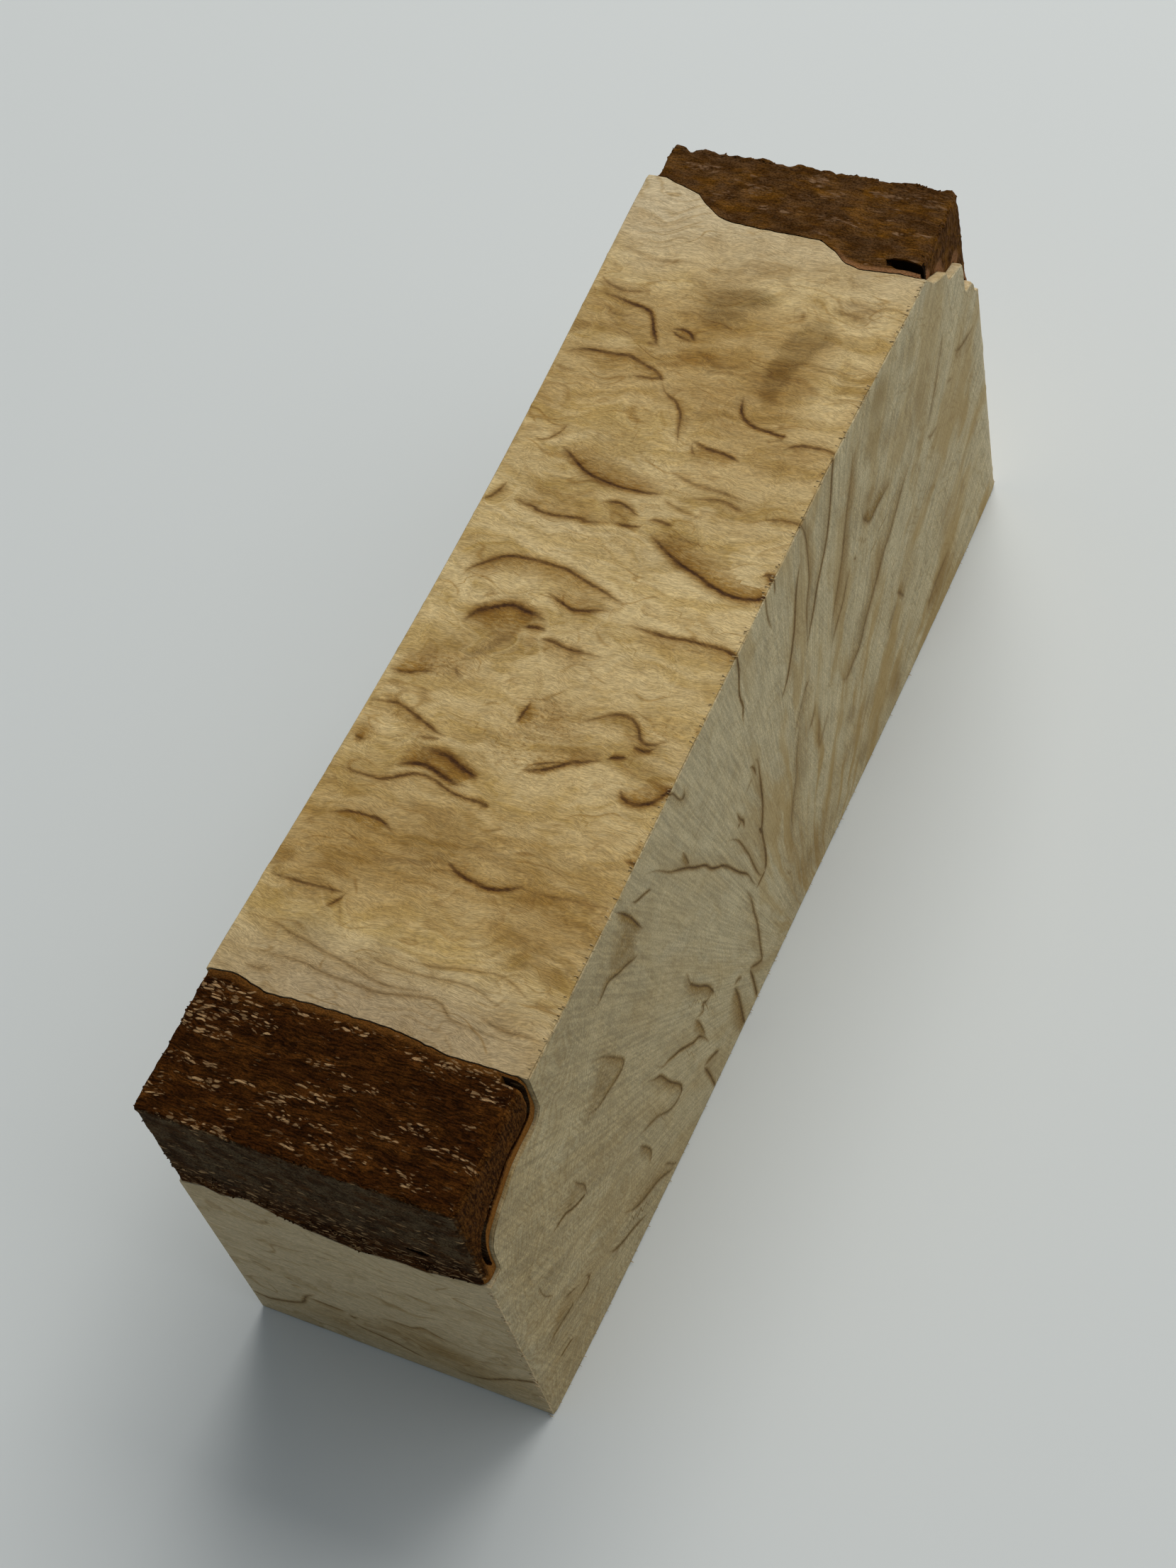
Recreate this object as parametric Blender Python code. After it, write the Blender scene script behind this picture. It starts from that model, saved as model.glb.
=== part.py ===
"""Masur birch block, sawn from a small trunk, with bark left on its two upper end corners.

The fibre of the wood runs along X, so the left and right faces are end grain, and every
section across the fibre, in the YZ plane, is nearly the same as the next. The wood and
both pieces of bark are therefore lofted along X from closed sections.
-Y is the near end, +Y the far end, and the block rests on its flat bottom at Z = 0.
"""

import math

import bmesh
import bpy
from mathutils import Vector, noise

MM = 0.001

# The sawn block: it is higher at its far end, because its top and bottom aren't parallel
HALF_WIDTH = 18.5 * MM
HALF_LENGTH = 65.7 * MM
NEAR_HEIGHT = 44.9 * MM
FAR_HEIGHT = 50.9 * MM

# The saw wandered: the left face is hollow along its middle, the right face is crowned
# and flares at its far upper corner
LEFT_HOLLOW = 1.5 * MM
LEFT_HOLLOW_MIDDLE = 3.0 * MM
LEFT_HOLLOW_REACH = 53.0 * MM
LEFT_HOLLOW_ROUNDNESS = 1.3
RIGHT_FACE_OUT = 17.85 * MM
RIGHT_CROWN = 0.55 * MM
RIGHT_FLARE = 0.9 * MM
RIGHT_FLARE_START = 20.0 * MM
RIGHT_FLARE_END = 55.0 * MM

# How finely the solids are divided, across the fibre's direction and along the block
STATION_STEP = 1.54 * MM
LENGTH_STEP = 13.0 * MM
TOP_DIVISIONS = 9
BARK_FACE_DIVISIONS = 7

# The two pieces of bark keep this gap to the wood
GAP = 0.3 * MM

# Where the cambium, the seam between wood and bark, meets the sawn top: pairs of
# millimetres across the block and millimetres along it
NEAR_TOP_SEAM = [
    (-18.5, -49.9), (-15.5, -49.4), (-13.2, -49.9), (-11.0, -50.4), (-6.0, -50.1),
    (3.2, -50.0), (9.7, -50.8), (18.5, -50.7),
]
FAR_TOP_SEAM = [
    (-18.5, 58.9), (-16.1, 58.8), (-13.5, 57.9), (-11.3, 57.2), (-10.0, 55.9),
    (-7.5, 54.3), (-5.5, 53.9), (0.2, 53.7), (5.0, 53.7), (7.1, 52.5), (8.9, 51.1),
    (11.0, 50.6), (15.1, 51.0), (18.5, 50.9),
]

# Where the cambium meets the near and the far face: millimetres across, and height
NEAR_SIDE_SEAM = [
    (-18.5, 29.5), (-14.9, 30.4), (-13.2, 29.6), (-9.4, 30.9), (-7.0, 29.7),
    (-3.6, 28.6), (3.1, 27.7), (7.2, 28.7), (10.9, 28.7), (15.2, 30.0), (18.5, 30.5),
]
FAR_SIDE_SEAM = [
    (-18.5, 33.2), (-12.0, 34.6), (-6.0, 33.8), (2.0, 35.6), (9.0, 34.9), (18.5, 34.4),
]

# The cambium between those two seams. Each pair is the share of the way outwards along
# the block and the share of the way down, at the left and at the right face
NEAR_CAMBIUM_LEFT = [
    (0.0, 0.0), (0.01, 0.12), (0.04, 0.24), (0.10, 0.33), (0.20, 0.39), (0.35, 0.45),
    (0.52, 0.53), (0.66, 0.62), (0.77, 0.72), (0.85, 0.82), (0.90, 0.90), (0.95, 0.965),
    (1.0, 1.0),
]
NEAR_CAMBIUM_RIGHT = [
    (0.0, 0.0), (-0.007, 0.166), (0.0, 0.311), (0.033, 0.377), (0.113, 0.417),
    (0.387, 0.437), (0.573, 0.523), (0.740, 0.603), (0.820, 0.695), (0.847, 0.828),
    (0.840, 0.947), (0.855, 0.985), (1.0, 1.0),
]
# The far cambium is stepped: ridges of wood run along the fibre into the bark
FAR_CAMBIUM_LEFT = [
    (0.0, 0.0), (0.15, 0.12), (0.30, 0.22), (0.36, 0.33), (0.57, 0.45), (0.60, 0.62),
    (0.74, 0.72), (0.77, 0.86), (1.0, 1.0),
]
FAR_CAMBIUM_RIGHT = [
    (0.0, 0.0), (0.149, 0.158), (0.378, 0.272), (0.405, 0.373), (0.703, 0.475),
    (0.700, 0.766), (0.885, 0.810), (0.905, 0.937), (1.0, 1.0),
]

# How far each piece of bark shrank back from the sawn faces
NEAR_SHRINK_ENDS = (0.1 * MM, 0.3 * MM)
NEAR_SHRINK_SIDE = (0.0 * MM, 0.0 * MM)
FAR_SHRINK_ENDS = (0.9 * MM, 0.9 * MM)
FAR_SHRINK_SIDE = (1.5 * MM, 0.6 * MM)

# The worn outer edges of the bark, and single chips in them: place across, width, depth
END_ROUNDING = 0.45 * MM
NEAR_CRUMBLE = 0.35 * MM
FAR_CRUMBLE = 0.8 * MM
CRUMBLE_SCALE = 420.0
NEAR_CHIPS = [(-13.5, 1.6, 0.4), (12.0, 2.2, 0.5)]
FAR_CHIPS = [(-15.2, 1.2, 1.1), (-3.0, 1.6, 0.7), (8.5, 2.4, 0.5)]

# The shrinkage crack that parts the thin bast layer from the near bark, open at the right
# end: millimetres along the block, height, and half the crack's width at that place
CRACK_ROUTE = [
    (-51.25, 46.8, 0.50), (-51.25, 43.6, 0.50), (-51.55, 41.9, 0.45), (-52.8, 40.8, 0.26),
    (-56.8, 40.7, 0.20), (-59.9, 39.4, 0.20), (-62.5, 38.0, 0.30), (-63.9, 35.9, 0.45),
    (-64.2, 33.6, 0.40), (-64.0, 32.2, 0.15),
]
CRACK_DEPTH = 4.0 * MM

# The dark hole between the far bark and the wood, near the right end
HOLE_PLACE = (15.6 * MM, 52.4 * MM, 50.2 * MM)
HOLE_RADII = (2.3 * MM, 0.55 * MM, 2.6 * MM)
HOLE_TURN = math.radians(-6)

WOOD_COLOUR = (0.66, 0.50, 0.32, 1.0)
BARK_COLOUR = (0.13, 0.055, 0.022, 1.0)
WOOD_ROUGHNESS = 0.75
BARK_ROUGHNESS = 0.8


def clear_scene():
    """Removes every object that the open file holds."""
    for obj in list(bpy.data.objects):
        bpy.data.objects.remove(obj, do_unlink=True)


def make_collection(name):
    """Makes a collection in the scene."""
    collection = bpy.data.collections.new(name)
    bpy.context.scene.collection.children.link(collection)
    return collection


def make_material(name, colour, roughness):
    """Makes a plain Principled material."""
    material = bpy.data.materials.new(name)
    material.use_nodes = True
    shader = material.node_tree.nodes["Principled BSDF"]
    shader.inputs["Base Color"].default_value = colour
    shader.inputs["Roughness"].default_value = roughness
    shader.inputs["Metallic"].default_value = 0.0
    material.diffuse_color = colour
    return material


def mix(first, second, share):
    """The value this share of the way from first to second."""
    return first + (second - first) * share


def smooth_step(value):
    """Eases a value from 0 to 1, flat at both ends."""
    value = min(max(value, 0.0), 1.0)
    return value * value * (3.0 - 2.0 * value)


def read_seam(seam, x):
    """Reads a seam's millimetres at x, in metres, by straight lines between its points."""
    place = min(max(x / MM, seam[0][0]), seam[-1][0])
    for (x0, value0), (x1, value1) in zip(seam, seam[1:]):
        if place <= x1:
            return mix(value0, value1, (place - x0) / (x1 - x0)) * MM
    return seam[-1][1] * MM


def top_height(y):
    """Height of the sawn top at y."""
    return mix(NEAR_HEIGHT, FAR_HEIGHT, (y + HALF_LENGTH) / (2 * HALF_LENGTH))


def left_face(y):
    """Where the left face stands at y."""
    share = (y - LEFT_HOLLOW_MIDDLE) / LEFT_HOLLOW_REACH
    return -HALF_WIDTH + LEFT_HOLLOW * max(0.0, 1.0 - share * share) ** LEFT_HOLLOW_ROUNDNESS


def right_face(y, z):
    """Where the right face stands at y and z."""
    crown = RIGHT_CROWN * (y / HALF_LENGTH) ** 4
    eased = smooth_step((y - RIGHT_FLARE_START) / (RIGHT_FLARE_END - RIGHT_FLARE_START))
    flare = RIGHT_FLARE * eased * z / FAR_HEIGHT
    return min(RIGHT_FACE_OUT - crown + flare, HALF_WIDTH)


class BarkEnd:
    """One end of the block that carries bark: its seams, its cambium and its wear."""

    def __init__(self, side, top_seam, side_seam, left, right, ends, shrink, wear, chips):
        self.side = side
        self.top_seam = top_seam
        self.side_seam = side_seam
        self.left = left
        self.right = right
        self.shrink_ends = ends
        self.shrink_side = shrink
        self.wear = wear
        self.chips = chips

    def cambium(self, x, gap):
        """The seam surface's outline at x, from the top down, moved outwards by gap."""
        share = (x + HALF_WIDTH) / (2 * HALF_WIDTH)
        top_y = read_seam(self.top_seam, x)
        top_z = top_height(top_y)
        side_y = self.side * HALF_LENGTH
        side_z = read_seam(self.side_seam, x)
        points = []
        for (out0, down0), (out1, down1) in zip(self.left, self.right):
            y = mix(top_y, side_y, mix(out0, out1, share)) + self.side * gap
            z = mix(top_z, side_z, mix(down0, down1, share)) + gap
            points.append((y, z))
        return points

    def side_place(self, z):
        """Where the bark's outer sawn side stands at height z."""
        low = read_seam(self.side_seam, 0.0)
        share = (z - low) / (FAR_HEIGHT - low)
        shrink = mix(self.shrink_side[1], self.shrink_side[0], min(max(share, 0.0), 1.0))
        return self.side * (HALF_LENGTH - shrink)

    def edge_wear(self, x):
        """How much the outer edge is worn away at x: seeded crumbling and the chips."""
        rough = noise.noise(Vector((x * CRUMBLE_SCALE, self.side * 7.3, 2.1)))
        worn = self.wear * (0.5 + rough)
        for place, width, depth in self.chips:
            worn += depth * MM * math.exp(-(((x / MM - place) / (0.5 * width)) ** 2))
        return max(worn, 0.05 * MM)

    def trimmed_cambium(self, x, rounding):
        """The bark's own side of the seam, cut off at its top and at its outer side."""
        points = self.cambium(x, GAP)
        (y0, z0), (y1, z1) = points[0], points[1]
        top = top_height(y0) - rounding
        points[0] = (mix(y0, y1, (z0 - top) / (z0 - z1)), top)
        (y0, z0), (y1, z1) = points[-2], points[-1]
        side = self.side_place(z1) - self.side * rounding
        points[-1] = (side, mix(z0, z1, (side - y0) / (y1 - y0)))
        return points

    def section(self, x, rounding):
        """The bark's closed outline at x: cambium down, side up, top back."""
        inner = self.trimmed_cambium(x, rounding)
        low_z = inner[-1][1]
        worn = self.edge_wear(x) + rounding
        corner_z = top_height(self.side * HALF_LENGTH)
        outer_side = []
        for step in range(1, BARK_FACE_DIVISIONS + 1):
            z = mix(low_z, corner_z - worn, step / BARK_FACE_DIVISIONS)
            outer_side.append((self.side_place(z) - self.side * rounding, z))
        top_y = inner[0][0]
        corner_y = self.side_place(corner_z) - self.side * worn
        outer_top = []
        for step in range(BARK_FACE_DIVISIONS):
            y = mix(corner_y, top_y, step / BARK_FACE_DIVISIONS)
            outer_top.append((y, top_height(y) - rounding))
        return inner + outer_side + outer_top


NEAR_END = BarkEnd(
    -1, NEAR_TOP_SEAM, NEAR_SIDE_SEAM, NEAR_CAMBIUM_LEFT, NEAR_CAMBIUM_RIGHT,
    NEAR_SHRINK_ENDS, NEAR_SHRINK_SIDE, NEAR_CRUMBLE, NEAR_CHIPS,
)
FAR_END = BarkEnd(
    1, FAR_TOP_SEAM, FAR_SIDE_SEAM, FAR_CAMBIUM_LEFT, FAR_CAMBIUM_RIGHT,
    FAR_SHRINK_ENDS, FAR_SHRINK_SIDE, FAR_CRUMBLE, FAR_CHIPS,
)


def wood_section(x):
    """The wood's closed outline at x, between the two cambium surfaces."""
    near = NEAR_END.cambium(x, 0.0)
    far = FAR_END.cambium(x, 0.0)
    outline = [(-HALF_LENGTH, 0.0)] + near[::-1]
    for step in range(1, TOP_DIVISIONS):
        y = mix(near[0][0], far[0][0], step / TOP_DIVISIONS)
        outline.append((y, top_height(y)))
    return outline + far + [(HALF_LENGTH, 0.0)]


def stations(low, high):
    """Places across the block, at even steps that every solid shares, with the two ends."""
    count = round(HALF_WIDTH / STATION_STEP)
    inner = [step * STATION_STEP for step in range(-count, count + 1)]
    margin = 0.4 * STATION_STEP
    return [low] + [x for x in inner if low + margin < x < high - margin] + [high]


def loft(sections):
    """Makes a closed mesh through sections, each a place across and a closed outline."""
    mesh = bmesh.new()
    rings = [[mesh.verts.new((x, y, z)) for y, z in outline] for x, outline in sections]
    count = len(rings[0])
    for ring, after in zip(rings, rings[1:]):
        for index in range(count):
            nxt = (index + 1) % count
            mesh.faces.new((ring[index], ring[nxt], after[nxt], after[index]))
    mesh.faces.new(rings[0])
    mesh.faces.new(rings[-1])
    bmesh.ops.recalc_face_normals(mesh, faces=mesh.faces)
    return mesh


def cut_along_length(mesh):
    """Divides a lofted block across its length, so that its faces can bend."""
    count = int(HALF_LENGTH / LENGTH_STEP)
    for step in range(-count, count + 1):
        everything = [*mesh.verts, *mesh.edges, *mesh.faces]
        place = (0.0, step * LENGTH_STEP, 0.0)
        bmesh.ops.bisect_plane(
            mesh, geom=everything, dist=1e-7, plane_co=place, plane_no=(0.0, 1.0, 0.0)
        )


def bend_to_sawn_faces(mesh):
    """Moves a straight lofted block onto the wandering left and right sawn faces."""
    for vert in mesh.verts:
        share = (vert.co.x + HALF_WIDTH) / (2 * HALF_WIDTH)
        left = left_face(vert.co.y)
        right = right_face(vert.co.y, vert.co.z)
        vert.co.x = mix(left, right, share)


def add_object(name, mesh, collection, material=None):
    """Puts a finished mesh in the scene as one object."""
    bmesh.ops.triangulate(mesh, faces=mesh.faces, ngon_method="EAR_CLIP")
    data = bpy.data.meshes.new(name)
    mesh.to_mesh(data)
    mesh.free()
    obj = bpy.data.objects.new(name, data)
    collection.objects.link(obj)
    if material:
        data.materials.append(material)
        data.shade_smooth()
        data.set_sharp_from_angle(angle=math.radians(28))
    return obj


def cut(target, cutter):
    """Cuts one object from another and hides the cutter."""
    cutter.hide_render = True
    cutter.display_type = "WIRE"
    boolean = target.modifiers.new("cut " + cutter.name, "BOOLEAN")
    boolean.operation = "DIFFERENCE"
    boolean.solver = "EXACT"
    boolean.object = cutter


def make_wood(collection, material):
    """The sawn birch between the two pieces of bark."""
    places = stations(-HALF_WIDTH, HALF_WIDTH)
    mesh = loft([(x, wood_section(x)) for x in places])
    cut_along_length(mesh)
    bend_to_sawn_faces(mesh)
    return add_object("masur_wood", mesh, collection, material)


def make_bark(name, end, collection, material):
    """One piece of bark, with its two sawn ends slightly rounded."""
    low = -HALF_WIDTH + end.shrink_ends[0]
    high = HALF_WIDTH - end.shrink_ends[1]
    places = stations(low, high)
    places.insert(1, low + END_ROUNDING)
    places.insert(-1, high - END_ROUNDING)
    sections = []
    for x in places:
        rounding = END_ROUNDING if x in (low, high) else 0.0
        sections.append((x, end.section(x, rounding)))
    mesh = loft(sections)
    bend_to_sawn_faces(mesh)
    return add_object(name, mesh, collection, material)


def make_crack_cutter(collection):
    """A thin curved slab that opens the crack between bast and bark at the right end."""
    route = [Vector((y * MM, z * MM)) for y, z, half in CRACK_ROUTE]
    sides = ([], [])
    for index, point in enumerate(route):
        before = route[max(index - 1, 0)]
        after = route[min(index + 1, len(route) - 1)]
        across = (after - before).orthogonal().normalized()
        half = CRACK_ROUTE[index][2] * MM
        sides[0].append(point + across * half)
        sides[1].append(point - across * half)
    outline = [tuple(point) for point in sides[0] + sides[1][::-1]]
    places = (RIGHT_FACE_OUT - CRACK_DEPTH, HALF_WIDTH + 2 * MM)
    mesh = loft([(x, outline) for x in places])
    return add_object("crack_cutter", mesh, collection)


def make_hole_cutter(collection):
    """A flattened ball that opens the hole under the far bark."""
    mesh = bmesh.new()
    bmesh.ops.create_uvsphere(mesh, u_segments=16, v_segments=10, radius=1.0)
    bmesh.ops.scale(mesh, vec=HOLE_RADII, verts=mesh.verts)
    obj = add_object("hole_cutter", mesh, collection)
    obj.location = HOLE_PLACE
    obj.rotation_euler = (0.0, 0.0, HOLE_TURN)
    return obj


def main():
    """Builds the block."""
    clear_scene()
    parts = make_collection("masur_birch_block")
    cutters = make_collection("cutters")
    wood = make_material("birch_wood", WOOD_COLOUR, WOOD_ROUGHNESS)
    near_finish = make_material("near_birch_bark", BARK_COLOUR, BARK_ROUGHNESS)
    far_finish = make_material("far_birch_bark", BARK_COLOUR, BARK_ROUGHNESS)
    make_wood(parts, wood)
    near_bark = make_bark("near_bark", NEAR_END, parts, near_finish)
    far_bark = make_bark("far_bark", FAR_END, parts, far_finish)
    cut(near_bark, make_crack_cutter(cutters))
    cut(far_bark, make_hole_cutter(cutters))


main()
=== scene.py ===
"""Looks of the masur birch block: figured wood, two pieces of bark, and a plain studio.

The fibre of the wood runs along X. The near end is at -Y, and the block rests at Z = 0.
Sizes are in millimetres, and a mesh gets its metres when it is made.
"""

from __future__ import annotations

import logging
import math
from collections.abc import Callable, Sequence
from dataclasses import dataclass, field
from enum import Enum

import bmesh
import bpy
import numpy as np
from mathutils import Matrix, Vector, noise


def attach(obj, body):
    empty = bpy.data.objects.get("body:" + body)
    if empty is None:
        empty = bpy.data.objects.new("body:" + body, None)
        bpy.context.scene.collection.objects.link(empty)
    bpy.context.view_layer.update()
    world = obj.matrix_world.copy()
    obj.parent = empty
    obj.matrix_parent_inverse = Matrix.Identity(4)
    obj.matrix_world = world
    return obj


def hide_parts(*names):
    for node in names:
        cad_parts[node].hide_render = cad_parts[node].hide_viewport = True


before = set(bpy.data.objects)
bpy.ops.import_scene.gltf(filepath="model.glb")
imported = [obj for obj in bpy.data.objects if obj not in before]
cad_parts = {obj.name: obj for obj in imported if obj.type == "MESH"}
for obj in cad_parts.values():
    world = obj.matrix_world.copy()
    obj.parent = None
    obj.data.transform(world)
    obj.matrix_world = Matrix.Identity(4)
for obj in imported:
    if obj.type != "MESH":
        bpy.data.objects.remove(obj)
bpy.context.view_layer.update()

MM = 0.001
Points = Sequence[tuple[float, float]]
Colour = tuple[float, float, float]

log = logging.getLogger("masur_birch_block")


def mix(first, second, share):
    """The value this share of the way from first to second."""
    return first + (second - first) * share


def smooth_step(value: np.ndarray) -> np.ndarray:
    """Eases values from 0 to 1, flat at both ends."""
    value = np.clip(value, 0.0, 1.0)
    return value * value * (3.0 - 2.0 * value)


def rough(points: np.ndarray, stretch: Sequence[float], place: float = 0.0) -> np.ndarray:
    """Smooth random relief at points.

    Args:
        points: places in millimetres, one row each.
        stretch: how fast the relief changes along X, Y and Z, per millimetre.
        place: where in the noise to read, so that two reliefs differ.

    Returns:
        Values of about -1 to 1.
    """
    moved = points * np.array(stretch) + np.array((place, 1.7 * place, -place))
    return np.array([noise.noise(Vector(row)) for row in moved])


def curved(points: Points, steps: int) -> np.ndarray:
    """A smooth curve through points.

    Args:
        points: the places that the curve goes through.
        steps: how many pieces each stretch between two points gets.

    Returns:
        The curve's places, one row each.
    """
    rows = np.array(points, float)
    if len(rows) < 3 or steps < 2:
        return rows
    before = np.vstack([2 * rows[0] - rows[1], rows[:-1]])
    after = np.vstack([rows[1:], 2 * rows[-1] - rows[-2]])
    slopes = (after - before) / 2
    share = np.linspace(0.0, 1.0, steps, endpoint=False)[:, None]
    pieces = []
    for a, b, m0, m1 in zip(rows, rows[1:], slopes, slopes[1:]):
        flat_start = 2 * share**3 - 3 * share**2 + 1
        rise = share**3 - 2 * share**2 + share
        late = share**3 - share**2
        pieces.append(flat_start * a + rise * m0 + (1 - flat_start) * b + late * m1)
    return np.vstack([*pieces, rows[-1:]])


def spread(line: np.ndarray, shares: np.ndarray) -> np.ndarray:
    """The places along a line at these shares of its length."""
    steps = np.hypot(*np.diff(line, axis=0).T)
    along = np.concatenate([[0.0], np.cumsum(steps)])
    wanted = shares * along[-1]
    return np.stack([np.interp(wanted, along, line[:, axis]) for axis in (0, 1)], axis=1)


def graded(count: int, first: float) -> np.ndarray:
    """Shares from 0 to 1 whose first and last steps are only `first` wide."""
    inner = np.linspace(0.0, 1.0, count - 1)
    return np.concatenate([[0.0, first], inner[1:-1], [1.0 - first, 1.0]])


class Side(Enum):
    """The six sides of the block, with the axes that a drawing of the side uses."""

    TOP = ("top", 0, 1)
    BOTTOM = ("bottom", 0, 1)
    RIGHT = ("right", 1, 2)
    LEFT = ("left", 1, 2)
    NEAR = ("near", 0, 2)
    FAR = ("far", 0, 2)

    @property
    def axes(self) -> tuple[int, int]:
        """The two axes of a drawing of this side."""
        return self.value[1:]


@dataclass(frozen=True)
class SawnBlock:
    """The block as it was sawn: its sizes, and how the saw wandered."""

    half_width: float = 18.5
    half_length: float = 65.7
    near_height: float = 44.9
    far_height: float = 50.9
    left_hollow: float = 1.5
    hollow_middle: float = 3.0
    hollow_reach: float = 53.0
    hollow_roundness: float = 1.3
    right_face_out: float = 17.85
    right_crown: float = 0.55
    right_flare: float = 0.9
    flare_start: float = 20.0
    flare_end: float = 55.0

    def top_height(self, y: np.ndarray) -> np.ndarray:
        """Height of the sawn top at y."""
        share = (y + self.half_length) / (2 * self.half_length)
        return mix(self.near_height, self.far_height, share)

    def left_face(self, y: np.ndarray) -> np.ndarray:
        """Where the left face stands at y."""
        share = (y - self.hollow_middle) / self.hollow_reach
        hollow = np.maximum(0.0, 1.0 - share * share) ** self.hollow_roundness
        return -self.half_width + self.left_hollow * hollow

    def right_face(self, y: np.ndarray, z: np.ndarray) -> np.ndarray:
        """Where the right face stands at y and z."""
        crown = self.right_crown * (y / self.half_length) ** 4
        eased = smooth_step((y - self.flare_start) / (self.flare_end - self.flare_start))
        flare = self.right_flare * eased * z / self.far_height
        return np.minimum(self.right_face_out - crown + flare, self.half_width)

    def bend(self, points: np.ndarray) -> np.ndarray:
        """Moves straight lofted points onto the wandering left and right faces."""
        share = (points[:, 0] + self.half_width) / (2 * self.half_width)
        left = self.left_face(points[:, 1])
        right = self.right_face(points[:, 1], points[:, 2])
        bent = points.copy()
        bent[:, 0] = mix(left, right, share)
        return bent


BLOCK = SawnBlock()


@dataclass(frozen=True)
class Seam:
    """The seam between wood and bark at one end of the block.

    The two seams are pairs of a place across and a place along or a height. The cambium
    between them is given as shares of the way outwards and downwards at both sawn faces.
    """

    side: int
    top: Points
    low: Points
    left: Points
    right: Points
    curve_steps: int

    def top_place(self, x: float) -> float:
        """Where the seam meets the sawn top, along the block."""
        return float(np.interp(x, *np.array(self.top).T))

    def low_place(self, x: float) -> float:
        """How high the seam meets the outer sawn side."""
        return float(np.interp(x, *np.array(self.low).T))

    def cambium(self, x: float, gap: float = 0.0) -> np.ndarray:
        """The seam's outline at x, from the top down.

        Args:
            x: place across the block.
            gap: how far the outline is moved outwards.

        Returns:
            Rows of place along the block and height.
        """
        share = (x + BLOCK.half_width) / (2 * BLOCK.half_width)
        top_y = np.interp(x, *np.array(self.top).T)
        top_y += 0.12 * noise.noise(Vector((1.1 * x, 3.0 * self.side, 0.5)))
        top_z = BLOCK.top_height(top_y)
        side_y = self.side * BLOCK.half_length
        side_z = np.interp(x, *np.array(self.low).T)
        side_z += 0.15 * noise.noise(Vector((0.9 * x, 5.0 * self.side, 8.5)))
        shares = mix(np.array(self.left), np.array(self.right), share)
        shares = curved([tuple(row) for row in shares], self.curve_steps)
        y = mix(top_y, side_y, shares[:, 0])
        z = mix(top_z, side_z, shares[:, 1])
        waves = np.sin(np.pi * np.linspace(0.0, 1.0, len(y)))
        places = np.stack([np.full(len(y), 0.25 * x), 0.9 * y, 0.9 * z], axis=1)
        y = y + self.side * 0.14 * waves * rough(places, (1, 1, 1), 4.0)
        outward = np.maximum.accumulate(self.side * y) * self.side
        return np.stack([outward + self.side * gap, z + gap], axis=1)


NEAR_SEAM = Seam(
    side=-1,
    top=(
        (-18.5, -49.9), (-15.5, -49.4), (-13.2, -49.9), (-11.0, -50.4), (-6.0, -50.1),
        (3.2, -50.0), (9.7, -50.8), (18.5, -50.7),
    ),
    low=(
        (-18.5, 29.5), (-14.9, 30.4), (-13.2, 29.6), (-9.4, 30.9), (-7.0, 29.7),
        (-3.6, 28.6), (3.1, 27.7), (7.2, 28.7), (10.9, 28.7), (15.2, 30.0), (18.5, 30.5),
    ),
    left=(
        (0.0, 0.0), (0.01, 0.12), (0.04, 0.24), (0.10, 0.33), (0.20, 0.39), (0.35, 0.45),
        (0.52, 0.53), (0.66, 0.62), (0.77, 0.72), (0.85, 0.82), (0.90, 0.90),
        (0.95, 0.965), (1.0, 1.0),
    ),
    right=(
        (0.0, 0.0), (0.0, 0.166), (0.0, 0.311), (0.033, 0.377), (0.113, 0.417),
        (0.387, 0.437), (0.573, 0.523), (0.740, 0.603), (0.820, 0.695), (0.847, 0.828),
        (0.850, 0.947), (0.870, 0.985), (1.0, 1.0),
    ),
    curve_steps=4,
)
FAR_SEAM = Seam(
    side=1,
    top=(
        (-18.5, 58.9), (-16.1, 58.8), (-13.5, 57.9), (-11.3, 57.2), (-10.0, 55.9),
        (-7.5, 54.3), (-5.5, 53.9), (0.2, 53.7), (5.0, 53.7), (7.1, 52.5), (8.9, 51.1),
        (11.0, 50.6), (15.1, 51.0), (18.5, 50.9),
    ),
    low=(
        (-18.5, 33.2), (-12.0, 34.6), (-6.0, 33.8), (2.0, 35.6), (9.0, 34.9), (18.5, 34.4),
    ),
    left=(
        (0.0, 0.0), (0.15, 0.12), (0.30, 0.22), (0.36, 0.33), (0.57, 0.45), (0.60, 0.62),
        (0.74, 0.72), (0.77, 0.86), (1.0, 1.0),
    ),
    right=(
        (0.0, 0.0), (0.149, 0.158), (0.378, 0.272), (0.405, 0.373), (0.703, 0.475),
        (0.700, 0.766), (0.885, 0.810), (0.905, 0.937), (1.0, 1.0),
    ),
    curve_steps=1,
)


@dataclass(frozen=True)
class Mark:
    """One brown masur line, drawn on a side of the block.

    Attributes:
        points: places that the line goes through.
        dark: how dark the line is, from 0 to 1.
        width: half of the line's width where it is widest.
        shade: how brown the wood beside it is. It is on the left of the way the line is
            drawn where this is above 0, and on the right where it is below.
        open_end: the line's last point lies on an edge or on another line, so it keeps
            its strength there.
    """

    points: Points
    dark: float = 0.7
    width: float = 0.3
    shade: float = 0.0
    open_end: bool = False


@dataclass(frozen=True)
class Patch:
    """A soft patch of another tone.

    Attributes:
        place: its middle, on the side's two axes.
        reach: half of its size along both axes.
        brown: brown if above 0, pale if below.
        grey: how grey-olive it is; two top patches use it for painted shadow.
        curly: how much fine curly figure it shows.
    """

    place: tuple[float, float]
    reach: tuple[float, float]
    brown: float = 0.0
    grey: float = 0.0
    curly: float = 0.0


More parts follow.
